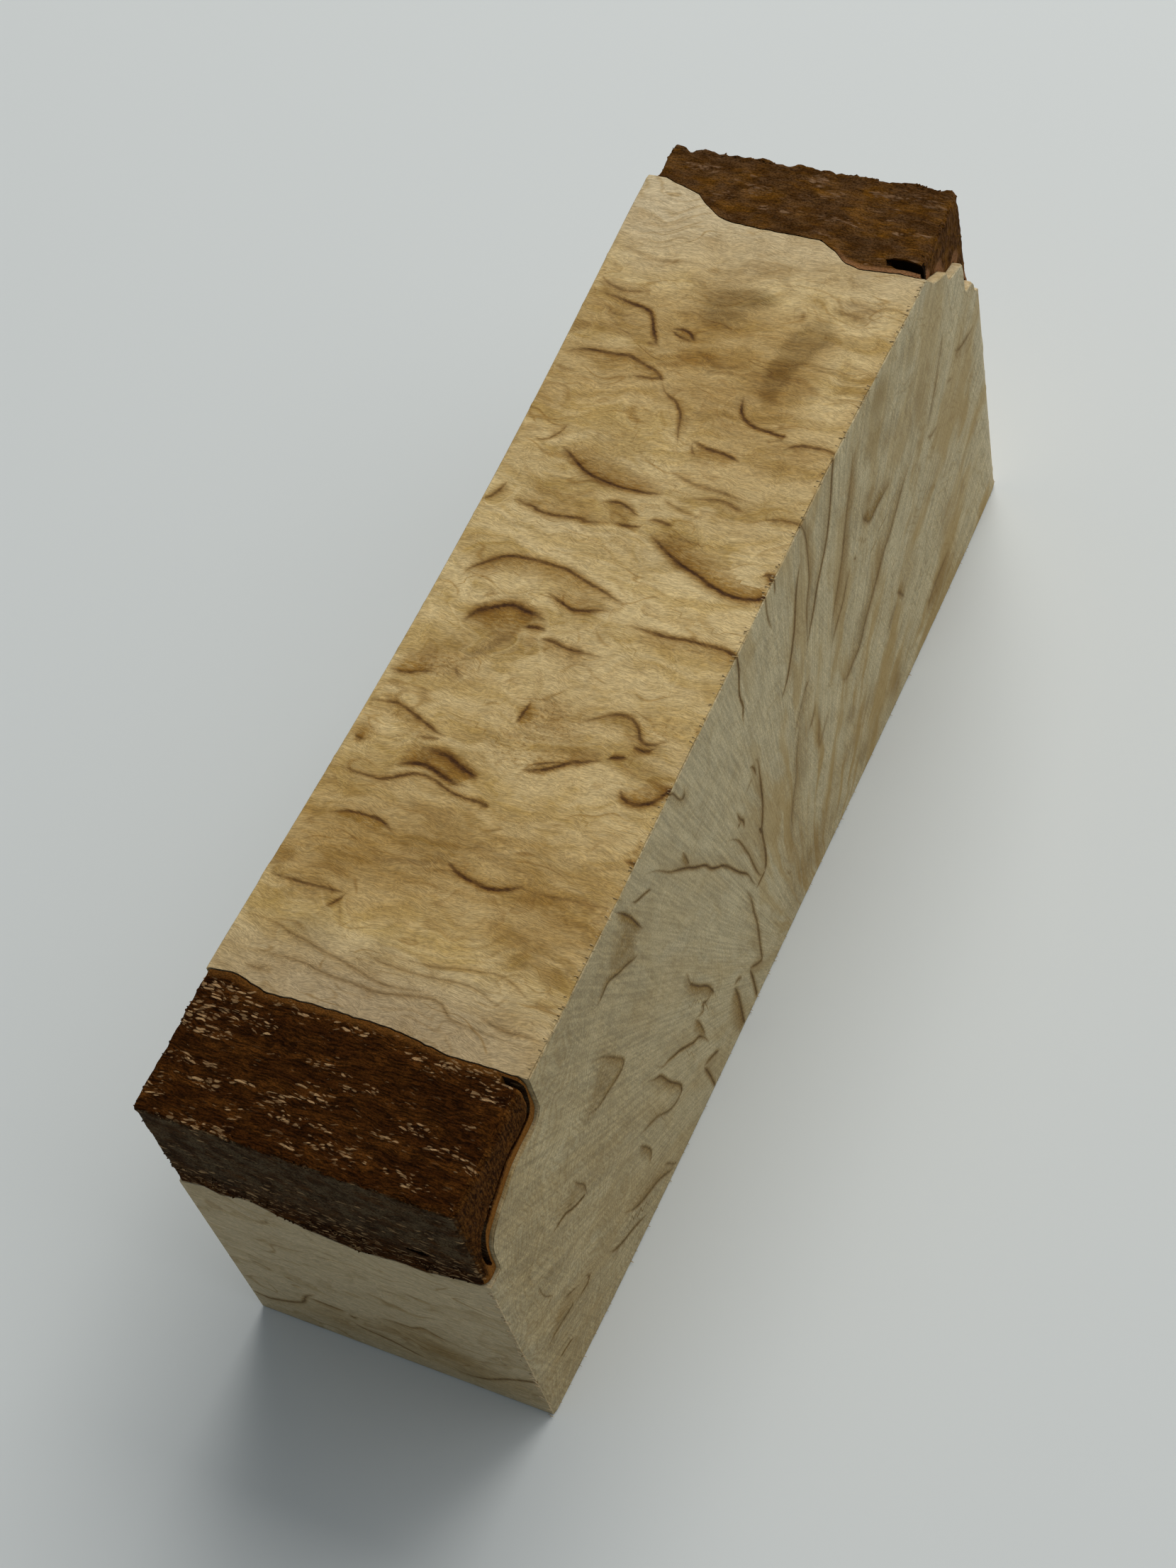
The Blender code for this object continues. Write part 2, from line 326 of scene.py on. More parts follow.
TOP_MARKS = (
    Mark(((-17.4, 43.4), (-16.5, 42.5), (-15, 41.9), (-13.5, 41.7), (-11.8, 42), (-10.5, 42.6)),
         0.45, 0.3, -0.4),
    Mark(((-17.5, 41.1), (-14.5, 40.6), (-12.3, 40.1), (-10.8, 39.9), (-9.6, 39.4), (-8.9, 38.4),
          (-8.3, 37.3), (-7.6, 36.1), (-7, 35.2), (-6.6, 35)), 0.95, 0.4, -0.4),
    Mark(((-6.6, 35), (-8.3, 35.2)), 0.5),
    Mark(((-14.8, 39.4), (-13.8, 38.3), (-12.3, 38.3), (-10.5, 38.6)), 0.3),
    Mark(((-6.3, 37.6), (-5.1, 37.9), (-4, 37.6), (-3.3, 36.9), (-3, 36.5)), 0.9, 0.34, -0.8),
    Mark(((-6.3, 37.6), (-5.3, 37), (-4, 36.6), (-3, 36.5)), 0.75, 0.3),
    Mark(((-3, 36.3), (-1.5, 35.1), (0, 34.3), (1.5, 33.9), (3.5, 34.5), (5, 34.9)), 0.25, 0.5),
    Mark(((6, 42.5), (7, 42.7), (8, 42.8)), 0.35),
    Mark(((-17.5, 48), (-15, 47.5), (-12, 46.8), (-10, 47), (-7, 47.4)), 0.25, 0.4),
    Mark(((2, 47.3), (3.5, 47), (5, 46)), 0.15, 0.4),
    Mark(((10, 46), (13.5, 45.6), (16, 45)), 0.22, 0.4),
    Mark(((10, 44.6), (12, 44.2), (13.8, 43.8), (14.8, 43.3)), 0.22, 0.35),
    Mark(((13.3, 38), (15.5, 37.3), (17.8, 36.8)), 0.22, 0.35),
    Mark(((-17, 31.5), (-15.3, 32.5), (-13.5, 32.8), (-11, 32.8), (-9.3, 33), (-8, 32.5),
          (-6.5, 32), (-5.3, 31.5), (-4.5, 30.8)), 0.85, 0.38, -0.7, True),
    Mark(((-7.9, 30.4), (-6.8, 30.5), (-5.5, 30.6), (-4.5, 30.8)), 0.75, 0.32, 0.5, True),
    Mark(((-17, 29.8), (-15.8, 29.5), (-14.3, 29.5)), 0.35),
    Mark(((-4.5, 30.8), (-3.5, 29.3), (-2.5, 28.6), (-1.8, 28.3), (-1.1, 27.6), (-0.5, 26.8),
          (-0.2, 26), (0.3, 24.3), (1, 22.5)), 0.75, 0.32, 0.6),
    Mark(((5.3, 30.8), (5.5, 29.9), (5.8, 28.9), (6.4, 28), (7.4, 27.3), (8.5, 26.9), (9.8, 26.8),
          (11, 26.6), (11.9, 26.6)), 0.95, 0.34, 0.5, True),
    Mark(((11.9, 26.6), (11.4, 26), (10.5, 25.6), (10, 25.4)), 0.4),
    Mark(((12, 24.6), (13, 25.5), (14, 25.9), (15.5, 26), (16.8, 26), (17.6, 25.8)),
         0.75, 0.34, -0.5, True),
    Mark(((2.3, 23.6), (3, 23.4), (4.3, 23), (5.5, 22.9), (6.8, 22.7), (7.8, 22.4), (8.5, 22.1)),
         0.9, 0.36, -0.7),
    Mark(((2.4, 23.5), (2.6, 22.8), (3, 22.1), (3.5, 21.9)), 0.5, 0.25),
    Mark(((-12.1, 22.4), (-12.1, 21.6), (-12.5, 20.9), (-13.1, 20.1), (-13.6, 19.8),
          (-14.3, 19.6), (-14.9, 19.9)), 0.55, 0.22),
    Mark(((-11.5, 19.5), (-10.8, 19.1), (-10, 18.6), (-9, 17.9), (-8, 17.2), (-6.8, 16.6),
          (-5.3, 16.2), (-4, 16), (-2.5, 15.8), (-1, 15.8), (0.3, 15.8), (1.5, 16),
          (2.3, 16.2)), 0.95, 0.36, 0.8),
    Mark(((2.3, 15.6), (3.3, 15.1), (5, 14.6), (7.5, 14.1)), 0.35, 0.25),
    Mark(((1.3, 19.3), (2.8, 18.8), (4.8, 18.2), (6.5, 18), (8, 18), (10, 17.6), (13.5, 17.4)),
         0.5, 0.34, 0.4),
    Mark(((5, 16.2), (6.5, 16.6), (8, 16.9), (9.3, 16.8), (10, 16.5), (11, 16.2), (12, 16.1)),
         0.5, 0.3),
    Mark(((13.8, 15.6), (15.3, 16.1), (17, 16.2), (17.9, 16.2)), 0.5, 0.3, 0.0, True),
    Mark(((-3.8, 13.5), (-3, 13.7), (-2, 13.9), (-1, 13.6), (-0.3, 13.3), (0.4, 12.9), (1, 12.8)),
         0.75, 0.3, -0.5),
    Mark(((-1.5, 11.4), (-0.5, 11.2), (0.5, 11.3), (1.3, 11.5), (1.5, 11.7)), 0.7, 0.28),
    Mark(((1.8, 12.5), (3, 12.7), (4, 12.6), (5, 12.5)), 0.65, 0.28),
    Mark(((-13.4, 11.4), (-12.9, 11.4), (-12, 11.1), (-11, 11), (-10, 10.6), (-8.3, 10.5),
          (-7.3, 10.6), (-6.5, 10.7), (-5, 10.8), (-4.5, 10.6), (-3, 10.9), (-1.5, 11.3)),
         0.8, 0.34, 0.5),
    Mark(((-16.9, 10.4), (-16.3, 10.9), (-15.8, 11.5), (-15.4, 12.5), (-15.1, 13.5)), 0.6, 0.34),
    Mark(((2.8, 10.9), (3.4, 10.5), (4.3, 10), (5.3, 9.3), (6.3, 8.8), (7.5, 8.1), (9, 7.6),
          (10.3, 7.1), (11.5, 6.5), (12.8, 6.1), (13.8, 5.8), (15, 5.7), (16.3, 5.8),
          (17.3, 6.2), (17.9, 6.6)), 1.0, 0.42, 0.9, True),
    Mark(((16.5, 9), (17.1, 9.3), (17.9, 9.2)), 0.85, 0.32, 0.0, True),
    Mark(((17.1, 9.3), (17.4, 8.8), (17.9, 8.5)), 0.85, 0.32, 0.0, True),
    Mark(((5, 11.5), (6.5, 11.1), (8, 11), (9.3, 11.1)), 0.28),
    Mark(((-14.4, 0.8), (-14.3, 1.3), (-13.9, 1.9), (-13, 2.6), (-12, 3.5), (-11, 4.1),
          (-9.8, 4.4), (-7.8, 4.5), (-5, 4.4), (-3.5, 4.2), (-2, 3.7), (-0.5, 3.2), (1, 2.8),
          (2.3, 2.3), (3.5, 1.9), (4.3, 1.7)), 0.85, 0.34, -0.7),
    Mark(((-4.8, 1), (-3.8, 0.7), (-2.8, 0.3), (-1.8, -0.1), (-0.8, -0.3), (0.3, -0.1),
          (1, 0.1), (2, 0.5), (3.3, 0.6)), 0.9, 0.36, 0.7),
    Mark(((5, -0.5), (7, -0.6), (8.5, -0.7), (10, -0.8), (12, -0.6), (13.5, -0.6),
          (15.3, -0.6), (16.8, -0.8), (17.9, -1.1)), 0.85, 0.34, -0.5, True),
    Mark(((-11.1, -1.3), (-10.4, -0.8), (-9.5, -0.6)), 0.4),
    Mark(((-11.9, -5), (-11.5, -4.3), (-11.1, -3.5), (-10.5, -2.9), (-9.8, -2.5), (-9, -2.1),
          (-8, -1.6), (-7, -1.5), (-5.8, -1.8), (-4.8, -1.9), (-4, -2.1), (-3, -2.5)),
         1.0, 0.6, -1.0),
    Mark(((-5.1, -3.7), (-4.5, -3.5), (-3.5, -3.4), (-2.6, -3.5)), 0.95, 0.42, -0.5),
    Mark(((-5.5, -4), (-6, -5), (-6.8, -6), (-8, -7.5), (-9.3, -8.8), (-10, -9.5)), 0.3, 0.9),
    Mark(((-3, -5), (-2.3, -4.6), (-1.3, -4.6), (-0.3, -4.8), (0.8, -5), (2.3, -5), (4.8, -5)),
         0.8, 0.34, -0.5),
    Mark(((-17, -12.4), (-15, -12.4), (-13.5, -11.9), (-11.5, -11.3)), 0.65, 0.4, 0.9),
    Mark(((-10, -10), (-9.5, -11), (-8.5, -11.3)), 0.5, 0.34),
    Mark(((-0.3, -11.9), (-0.4, -12.6), (-0.6, -13.5), (-0.6, -14.4), (-0.9, -15)),
         0.8, 0.34, 0.9),
    Mark(((5.3, -13), (6.3, -12.5), (7.3, -11.8), (8.3, -11.2), (9.3, -10.9), (10.3, -10.9),
          (11, -11.3), (11.8, -12), (12.3, -12.9), (12.8, -13.3), (13.5, -13.4), (14.3, -13.1),
          (14.8, -12.6), (15.3, -12.5)), 0.75, 0.34, -0.5),
    Mark(((12, -13.9), (12.4, -14.1), (13.3, -14.2), (14, -14), (14.3, -13.5)), 0.9, 0.36, 0.6),
    Mark(((10.1, -16), (10.6, -15.8), (11.3, -15.6), (12.1, -15.5)), 0.9, 0.34),
    Mark(((2.1, -19.8), (3, -19.6), (4, -19.3), (5, -18.8), (6, -18.1), (6.8, -17.5),
          (7.5, -17.3), (8.8, -16.8), (10, -16.1)), 0.9, 0.4, 0.7),
    Mark(((2.8, -19.1), (4, -18.5), (5.8, -17.8)), 0.6, 0.26),
    Mark(((12.8, -18.8), (13.1, -19.4), (13.6, -19.9), (14.5, -20.2), (15.5, -20.1),
          (16.4, -19.6), (17, -19), (17.5, -18.1), (17.7, -17.6)), 1.0, 0.4, 0.8, True),
    Mark(((-17, -16.6), (-15.5, -16.3), (-14, -16.1), (-12.5, -16.5), (-11.3, -17),
          (-10, -17.5), (-9, -17.9), (-8, -18.3), (-6.8, -18.4)), 0.8, 0.34, -0.6),
    Mark(((-10.3, -19.3), (-9.3, -19.1), (-8.3, -19), (-7.5, -18.8)), 0.6),
    Mark(((-13.5, -17.4), (-12.8, -17.4)), 0.5),
    Mark(((-16.6, -20.8), (-15.8, -21.2), (-15, -20.9)), 0.75, 0.4, 1.0),
    Mark(((-16.2, -22.1), (-16, -22.1)), 0.9, 0.3),
    Mark(((-9, -20.3), (-7.8, -20.3), (-6.3, -20.4), (-5, -20.8), (-4, -21.3), (-3, -21.6),
          (-2, -22), (-1.8, -22.5)), 1.0, 0.55, -1.0),
    Mark(((-2.3, -23.1), (-3.3, -23.3), (-4.3, -23.1), (-5.5, -22.8), (-6.5, -22.4),
          (-7.8, -22.1), (-9, -22.3), (-10, -22.7), (-10.9, -23)), 0.95, 0.45, -0.9),
    Mark(((-16.5, -24.6), (-15, -24.9), (-13, -25), (-11.5, -25), (-10.3, -24.5),
          (-9.3, -23.9), (-8.3, -23.4), (-7, -23.3), (-5.8, -23.5), (-4.5, -24), (-3.5, -24.3),
          (-2, -24.5), (-0.5, -24.5), (0.5, -24.7)), 0.8, 0.34, -0.5, True),
    Mark(((0.5, -24.3), (0.4, -24.7), (0.1, -25.2)), 0.9, 0.45),
    Mark(((-15, -30.1), (-14, -29.8), (-12.8, -29.4), (-11.3, -29.3), (-9.8, -29.3),
          (-8.8, -29.5), (-8, -29.8), (-7.5, -30)), 0.85, 0.34, -0.9),
    Mark(((-0.5, -31.6), (0.1, -32), (1, -32.5), (2.3, -32.9), (3.5, -33.1), (5, -33.3),
          (6.3, -33), (7.3, -32.6), (8, -32.2), (8.8, -32.3)), 1.0, 0.42, 0.7),
    Mark(((0, -30.3), (2.5, -29.3), (5, -29.5), (7.3, -30.8)), 0.2, 0.5),
    Mark(((-0.5, -31.8), (-2, -32.3), (-3.5, -32.8), (-5, -33), (-6.5, -33.4), (-8.5, -33.6)),
         0.3, 0.55),
    Mark(((8.8, -32.3), (11, -32.3), (13.5, -32), (16, -31.9), (17.9, -31.6)), 0.35, 0.3),
    Mark(((16.6, -26.4), (17.9, -26.4)), 0.85, 0.36, 0.0, True),
    Mark(((-17.6, -38.3), (-15.3, -38.3), (-12.8, -38.3), (-10.8, -38.1), (-9.5, -38.1),
          (-8.6, -37.9)), 0.65, 0.3, -0.5),
    Mark(((-8.6, -38.1), (-9, -38.9), (-9.5, -39.5), (-10.1, -40.1)), 0.75, 0.32, -0.4),
    Mark(((-3.5, -42.6), (0, -42.9), (3.5, -42.8), (6, -42.2), (8.5, -41.8), (10, -41.6),
          (11.8, -42), (13.3, -42.8), (14.3, -43.3)), 0.3, 0.22),
    Mark(((-5, -43), (-3, -43.6), (-1, -44), (2.5, -44), (5, -43.8), (7, -43.6), (9, -43.8),
          (11, -44.5), (13.5, -45)), 0.3, 0.2),
    Mark(((-18, -43.3), (-16.5, -43.1), (-14, -43.2), (-12, -43.8), (-10, -44.1), (-8, -44.6),
          (-5, -45.1), (-3, -45.6), (-1, -46), (1, -46), (3.5, -45.6), (5, -45.4)), 0.35, 0.24),
    Mark(((-16.5, -46.8), (-14, -46.6), (-11.5, -46.4), (-9, -46.4), (-6.5, -46.8),
          (-3.5, -46.9), (-0.5, -47), (1.5, -46.6), (3.5, -46.2), (5, -46), (6.3, -46.3),
          (7.5, -47.3), (9, -47.5), (13.5, -47.8), (17.8, -47.9)), 0.35, 0.22),
    Mark(((10, -46.2), (11.5, -46.6), (13.3, -46.9), (15.5, -46.8), (17.8, -46.8)), 0.28, 0.2),
    Mark(((-15, -48.3), (-11.5, -48.4)), 0.25, 0.2),
)
TOP_PATCHES = (
    Patch((0, 34), (24, 14), brown=0.81),
    Patch((0, -33), (24, 9), brown=0.85),
    Patch((0, -14), (24, 8), brown=0.25),
    Patch((0, -49.5), (24, 7.5), brown=-1.5),
    Patch((-1.6, 42), (3, 2.9), grey=0.7, brown=0.15),
    Patch((1.6, 44.2), (2.6, 1.4), grey=0.6),
    Patch((9.8, 40.8), (2.1, 2.0), grey=0.75, brown=0.1),
    Patch((8.5, 38), (2.0, 2.2), grey=0.85, brown=0.2),
    Patch((7.8, 34.5), (1.5, 2.0), grey=0.9, brown=0.3),
    Patch((13, 44.5), (3.5, 2.5), brown=-0.9),
    Patch((-2, 35.3), (2.6, 3.4), brown=0.4),
    Patch((-12.5, 34.7), (5.5, 0.9), brown=-0.6),
    Patch((14.8, 34.5), (3, 6), brown=-0.8),
    Patch((-12, 45), (5, 2.2), brown=-0.8),
    Patch((4.5, 45.5), (3, 2), brown=-0.7),
    Patch((8, 31), (1.8, 1.8), grey=0.35, brown=0.2),
    Patch((-11.5, -10.3), (3.2, 1.7), brown=0.55, curly=1.0),
    Patch((2.4, -13.4), (3.4, 2.2), brown=0.4, curly=1.0),
    Patch((-16, -20.2), (1.3, 1.2), brown=0.9),
    Patch((-4, -21.9), (2.2, 0.9), brown=1.0),
    # Painted shadow: these two grey smudges are soft shadows that fell on the top near the seam.
    Patch((-10, -43), (3.6, 2.6), grey=0.5),
    Patch((-2.5, -43.5), (1.7, 5.5), grey=0.4),
    Patch((8, -48.2), (2.6, 1.3), grey=0.3),
    Patch((-17.3, -35.5), (1.3, 1.1), brown=0.4),
    Patch((2, -18), (5.5, 2.6), curly=0.8),
    Patch((14, -11.5), (2.4, 1.8), curly=0.7, brown=0.2),
    Patch((-5, 22.5), (6, 5), brown=-0.7, curly=0.5),
    Patch((-2, 8), (10, 3), brown=-0.25),
    Patch((-13, 36), (5, 5), brown=0.05),
    Patch((13, 32), (6, 8), brown=0.15),
    Patch((12, 21), (6, 3.5), brown=0.2),
    Patch((-12, -34), (7, 5), brown=0.3),
    Patch((13, -37), (6, 6), brown=0.3),
    Patch((3, -37.5), (6, 3), brown=-0.2),
)
RIGHT_MARKS = (
    Mark(((-39.2, 39.7), (-37.7, 39.4), (-36.2, 39.7), (-35.2, 39.3), (-33.8, 38.3),
          (-32.3, 37.5), (-31, 36.5), (-30, 36.2)), 0.75, 0.34, 0.7),
    Mark(((-31.7, 46), (-30.7, 44.3), (-29.7, 42.2), (-29.3, 41), (-28.8, 39.3),
          (-28.3, 37.8)), 0.9, 0.34, -0.9),
    Mark(((-28.8, 43.5), (-28, 42.5), (-26.7, 41.7), (-25.7, 41), (-25.3, 40.5)), 0.75, 0.3),
    Mark(((-42.7, 34.7), (-41, 33.3), (-39.7, 31.5), (-38.7, 29.7), (-37.8, 28), (-37.5, 27.2),
          (-38, 26.7), (-39.3, 26.7), (-41.3, 27.2), (-43, 27.5), (-44.3, 28.3),
          (-45.3, 29.7)), 0.65, 0.4, -0.7),
    Mark(((-56.2, 23.3), (-54.7, 23.1), (-53.2, 22.7), (-52.2, 21.8), (-51, 21),
          (-49.7, 20.4)), 0.85, 0.34, 0.4, True),
    Mark(((-50.5, 25), (-50, 23.3), (-49.3, 21.8), (-49.4, 20.5)), 0.6, 0.3, -0.5, True),
    Mark(((-53.2, 23.5), (-52.3, 22.8), (-51.7, 22.3)), 0.5, 0.26),
    Mark(((-60.3, 20.7), (-60.3, 18.7), (-60, 17.3), (-59.3, 16)), 0.5, 0.28, 0.0, True),
    Mark(((-60.5, 15.7), (-59.3, 15.9)), 0.5, 0.28, 0.0, True),
    Mark(((-62.5, 10.4), (-61, 10.5), (-59.3, 10.2), (-57.3, 9.8), (-57.2, 10.2)), 0.7, 0.36, 0.5),
    Mark(((-57.8, 12.7), (-56.7, 11.7), (-55.7, 11)), 0.55, 0.32),
    Mark(((-56.5, 9.2), (-55, 8.9), (-54, 8.8), (-53.5, 9.3), (-54.2, 10.5)), 0.7, 0.34, 0.4),
    Mark(((-62.2, 6.2), (-61, 6), (-59.7, 5.7), (-58.8, 5.2)), 0.7, 0.34),
    Mark(((-49.7, 7.3), (-48.8, 6), (-47, 4.8), (-45.3, 4), (-43.7, 3), (-42, 1.8)), 0.7, 0.42, 0.3),
    Mark(((-45.7, 8.7), (-44.3, 6.7), (-42.7, 5.3), (-40.7, 4.3), (-39, 3.5), (-37.7, 2.5),
          (-36.3, 1.2), (-35.5, 0.7)), 0.7, 0.42, 0.6),
    Mark(((-37.2, 4), (-36.3, 2.7), (-35.5, 1)), 0.5, 0.4, 0.0, True),
    Mark(((-39.8, 13), (-39.3, 12), (-38.7, 10.7), (-38.3, 9.3), (-38.7, 8.3), (-39.5, 7.8)),
         0.65, 0.36, -0.7),
    Mark(((-35.3, 19), (-34, 17.3), (-33, 16.3), (-32.3, 14.3), (-31.7, 12.7), (-30.7, 10.7),
          (-30.3, 9.4), (-30.6, 8.8)), 0.85, 0.36, -0.7, True),
    Mark(((-39.3, 14.3), (-38, 13.5), (-36.7, 12.7), (-35.3, 11.7), (-34.3, 10.5), (-33, 9.3),
          (-31.7, 8.8), (-30.6, 8.8)), 0.6, 0.36, 0.4, True),
    Mark(((-33.3, 19), (-32.3, 17), (-31, 16.2), (-29.7, 15.2), (-28.7, 14.5), (-27.7, 13.5),
          (-26.7, 12.5), (-26, 11.8), (-25, 11.3), (-24.2, 9.8), (-23.8, 8.7),
          (-23.5, 7.3)), 0.85, 0.38, 0.3),
    Mark(((-24.8, 14.7), (-24.2, 13), (-23.9, 11), (-23.8, 9.3)), 0.6, 0.36, -0.8),
    Mark(((-23.8, 22.7), (-23.7, 20.3), (-23, 18.7), (-22.2, 17.3), (-21.3, 16), (-20.7, 14.7),
          (-20.4, 13.3)), 0.8, 0.36, -0.8, True),
    Mark(((-20.4, 13.3), (-21.2, 13.5), (-22.2, 14), (-22.8, 14.7), (-22.8, 13.3),
          (-23.7, 13.8), (-24.7, 14.5)), 0.6, 0.3),
    Mark(((-23.7, 20.3), (-23.4, 19.4)), 1.0, 0.3),
    Mark(((-25.7, 43.8), (-24, 42), (-22.8, 40.3), (-21.7, 38.5), (-20, 36.5), (-18.5, 34.7),
          (-17.7, 33.5), (-16.7, 32.3), (-15.5, 30.8), (-14.8, 29.2), (-13.7, 27.8),
          (-12.7, 26.7), (-11.8, 25.2), (-11, 23.5), (-10, 21.5), (-9, 19.8), (-8.5, 18.7),
          (-8.3, 17.7), (-7.8, 16), (-7, 15)), 0.9, 0.32, 0.35),
    Mark(((-18.7, 38), (-18.3, 36), (-18.3, 34.7)), 0.6, 0.3, -0.8),
    Mark(((-10.5, 28.3), (-9.5, 27), (-8.8, 25.8), (-8.3, 24.3), (-7.8, 22.3), (-7.5, 21.2),
          (-7.3, 19.7), (-6.8, 17), (-6.3, 15.5), (-5.3, 15)), 0.7, 0.3, 0.3),
    Mark(((-7.8, 29.7), (-7.5, 28), (-7, 27), (-7.2, 25.7)), 0.85, 0.36),
    Mark(((-8.5, 27.5), (-7.3, 27.5)), 0.6, 0.3),
    Mark(((-7.8, 15), (-6.4, 15), (-5, 15)), 0.7, 0.34),
    Mark(((-2.2, 31.7), (-1.7, 30.7), (-2, 28.3), (-2.3, 26.3), (-2.7, 24.3), (-3.3, 22.7),
          (-4, 21.3), (-4.2, 19.7), (-4.3, 17.7), (-4.7, 16), (-5.2, 15)), 0.85, 0.42, -0.4, True),
    Mark(((-3.3, 32), (-2.7, 30.7), (-2.7, 29.3)), 0.75, 0.32),
    Mark(((-4.3, 22), (-4.3, 20.8)), 1.0, 0.5),
    Mark(((-5.3, 29.7), (-4.4, 29.9), (-3.3, 30)), 0.3, 0.3),
    Mark(((-2.7, 38.3), (-2.5, 39.7), (-2, 40.7), (-2.2, 42.7), (-1.8, 44.3), (-1.3, 45.7),
          (-1, 47.9)), 0.9, 0.3, 0.2, True),
    Mark(((6.5, 43), (6.2, 44.7), (6.2, 46.3), (6.5, 48.2)), 0.55, 0.28, 0.0, True),
    Mark(((8.3, 46.2), (8.8, 47.8), (8.9, 48.3)), 0.7, 0.28, 0.0, True),
    Mark(((-15.5, 45.3), (-15.7, 43.8), (-16.3, 43.8), (-17, 44.8), (-17.5, 46.3),
          (-18.2, 47.2)), 0.65, 0.3, 0.4, True),
    Mark(((5.3, 32.5), (6, 32.7), (7.3, 33.5), (8.7, 35), (10, 36.7), (11, 38.3), (12, 40.7),
          (13, 42.5), (14, 43.8), (14.8, 44.5)), 0.8, 0.42, -0.3),
    Mark(((13, 33.3), (13.2, 34.3), (13.8, 36.7), (14.7, 38.7), (15.7, 40.3), (16.2, 42.7),
          (16.6, 45.3), (16.5, 47.3), (16, 48.9)), 0.55, 0.34, -0.5, True),
    Mark(((12.3, 32), (13.2, 33.3), (14, 34.2), (15.3, 35.5), (16.8, 37.3), (18.3, 38.7),
          (19.8, 40), (21, 41.3), (22.3, 43.3), (23.3, 45.3), (24.2, 47.3), (25.2, 49.2)),
         0.8, 0.42, 0.4, True),
    Mark(((12.9, 33), (13.2, 33.6)), 0.9, 0.45),
    Mark(((17.3, 26.3), (18.7, 29.3), (20.3, 31.3), (22, 33.3), (23.7, 35.7), (25, 38),
          (26.7, 40.7), (28, 42.7), (29, 44.7), (29.3, 47)), 0.4, 0.5, -0.6),
    Mark(((17.7, 26.3), (18.7, 27.3), (20.3, 28.3), (22, 29.3), (23.3, 30.7), (24.7, 31.7)),
         0.5, 0.45, 0.3),
    Mark(((25.7, 31.9), (26.4, 31.5)), 0.7, 0.5),
    Mark(((29.3, 36), (29.3, 34.7), (30, 33.7), (30.7, 32.8), (32.7, 33), (34.7, 33),
          (37, 32.8)), 0.5, 0.5, 0.9),
    Mark(((18.3, 20), (19, 18.8), (19.8, 18.2), (21.7, 18.5), (24, 19), (26, 20.7), (28, 22),
          (30.7, 23.7), (32.7, 25.2), (34.7, 26), (36.7, 27.3), (38.7, 28.7), (40.3, 29.7),
          (41.7, 30.3), (43, 31)), 0.5, 0.6, 0.6),
    Mark(((10.6, 27.7), (11.4, 28.2)), 0.7, 0.55),
    Mark(((6, 24.3), (8, 26), (10.3, 27.7), (12, 28.7)), 0.35, 0.6, -0.4),
    Mark(((9.3, 21.5), (10.7, 22), (12, 23.3)), 0.45, 0.5),
    Mark(((12.7, 22.3), (12, 20), (11, 16.7), (12.7, 17.7), (15.3, 19)), 0.35, 0.6),
    Mark(((9.7, 26.3), (8.3, 25.3), (6.7, 23), (5.7, 21), (5, 19), (3.3, 16.7), (2, 14.3),
          (1.5, 12.3), (1.7, 10.7)), 0.35, 0.8, 0.5),
    Mark(((-9.7, 17.7), (-9.2, 15), (-9.3, 12.7), (-9.2, 10.3), (-9.5, 8), (-9.8, 6),
          (-10, 4)), 0.7, 0.45, -0.3, True),
    Mark(((-12.8, 6.3), (-11.8, 5.3), (-10.7, 4.3), (-10, 4)), 0.7, 0.42, -0.4, True),
    Mark(((-12.8, 6.3), (-12.7, 3.7), (-12.8, 0.6)), 0.85, 0.45, 0.0, True),
    Mark(((-16.5, 8.3), (-16.2, 6), (-16.3, 3.3), (-16.5, 0.6)), 0.8, 0.55, -0.8, True),
    Mark(((-16.5, 8.3), (-15.3, 8), (-14.7, 7)), 0.6, 0.4),
    Mark(((-25.7, 6), (-25.2, 3.7), (-24.8, 0.5)), 0.8, 0.45, 0.0, True),
    Mark(((-25.7, 6), (-24.3, 5.3), (-23, 4.5), (-22.2, 3.7)), 0.75, 0.42, -0.3),
    Mark(((-1.3, 8.7), (-0.3, 7.3)), 0.35, 0.35),
    Mark(((34.3, 16.3), (35.3, 14.7), (36.2, 13)), 0.5, 0.5, 0.6),
    Mark(((34.3, 15), (32.3, 13.7), (30.7, 12.7)), 0.35, 0.7),
    Mark(((54, 40), (53.3, 38), (51.7, 36), (50.7, 34.3), (48.7, 32), (47.3, 30.3)), 0.35, 0.6),
    Mark(((56.7, 33.3), (58, 32.3), (60, 31.7), (63.3, 31)), 0.5, 0.5, -0.3),
    Mark(((47, 29.3), (48, 28.3), (50, 28)), 0.4, 0.5),
    Mark(((53.7, 31.3), (55.3, 30.3)), 0.35, 0.5),
    Mark(((41.3, 3.7), (43.3, 5.3), (46.7, 6), (50, 6.3)), 0.3, 0.9, -0.5),
)
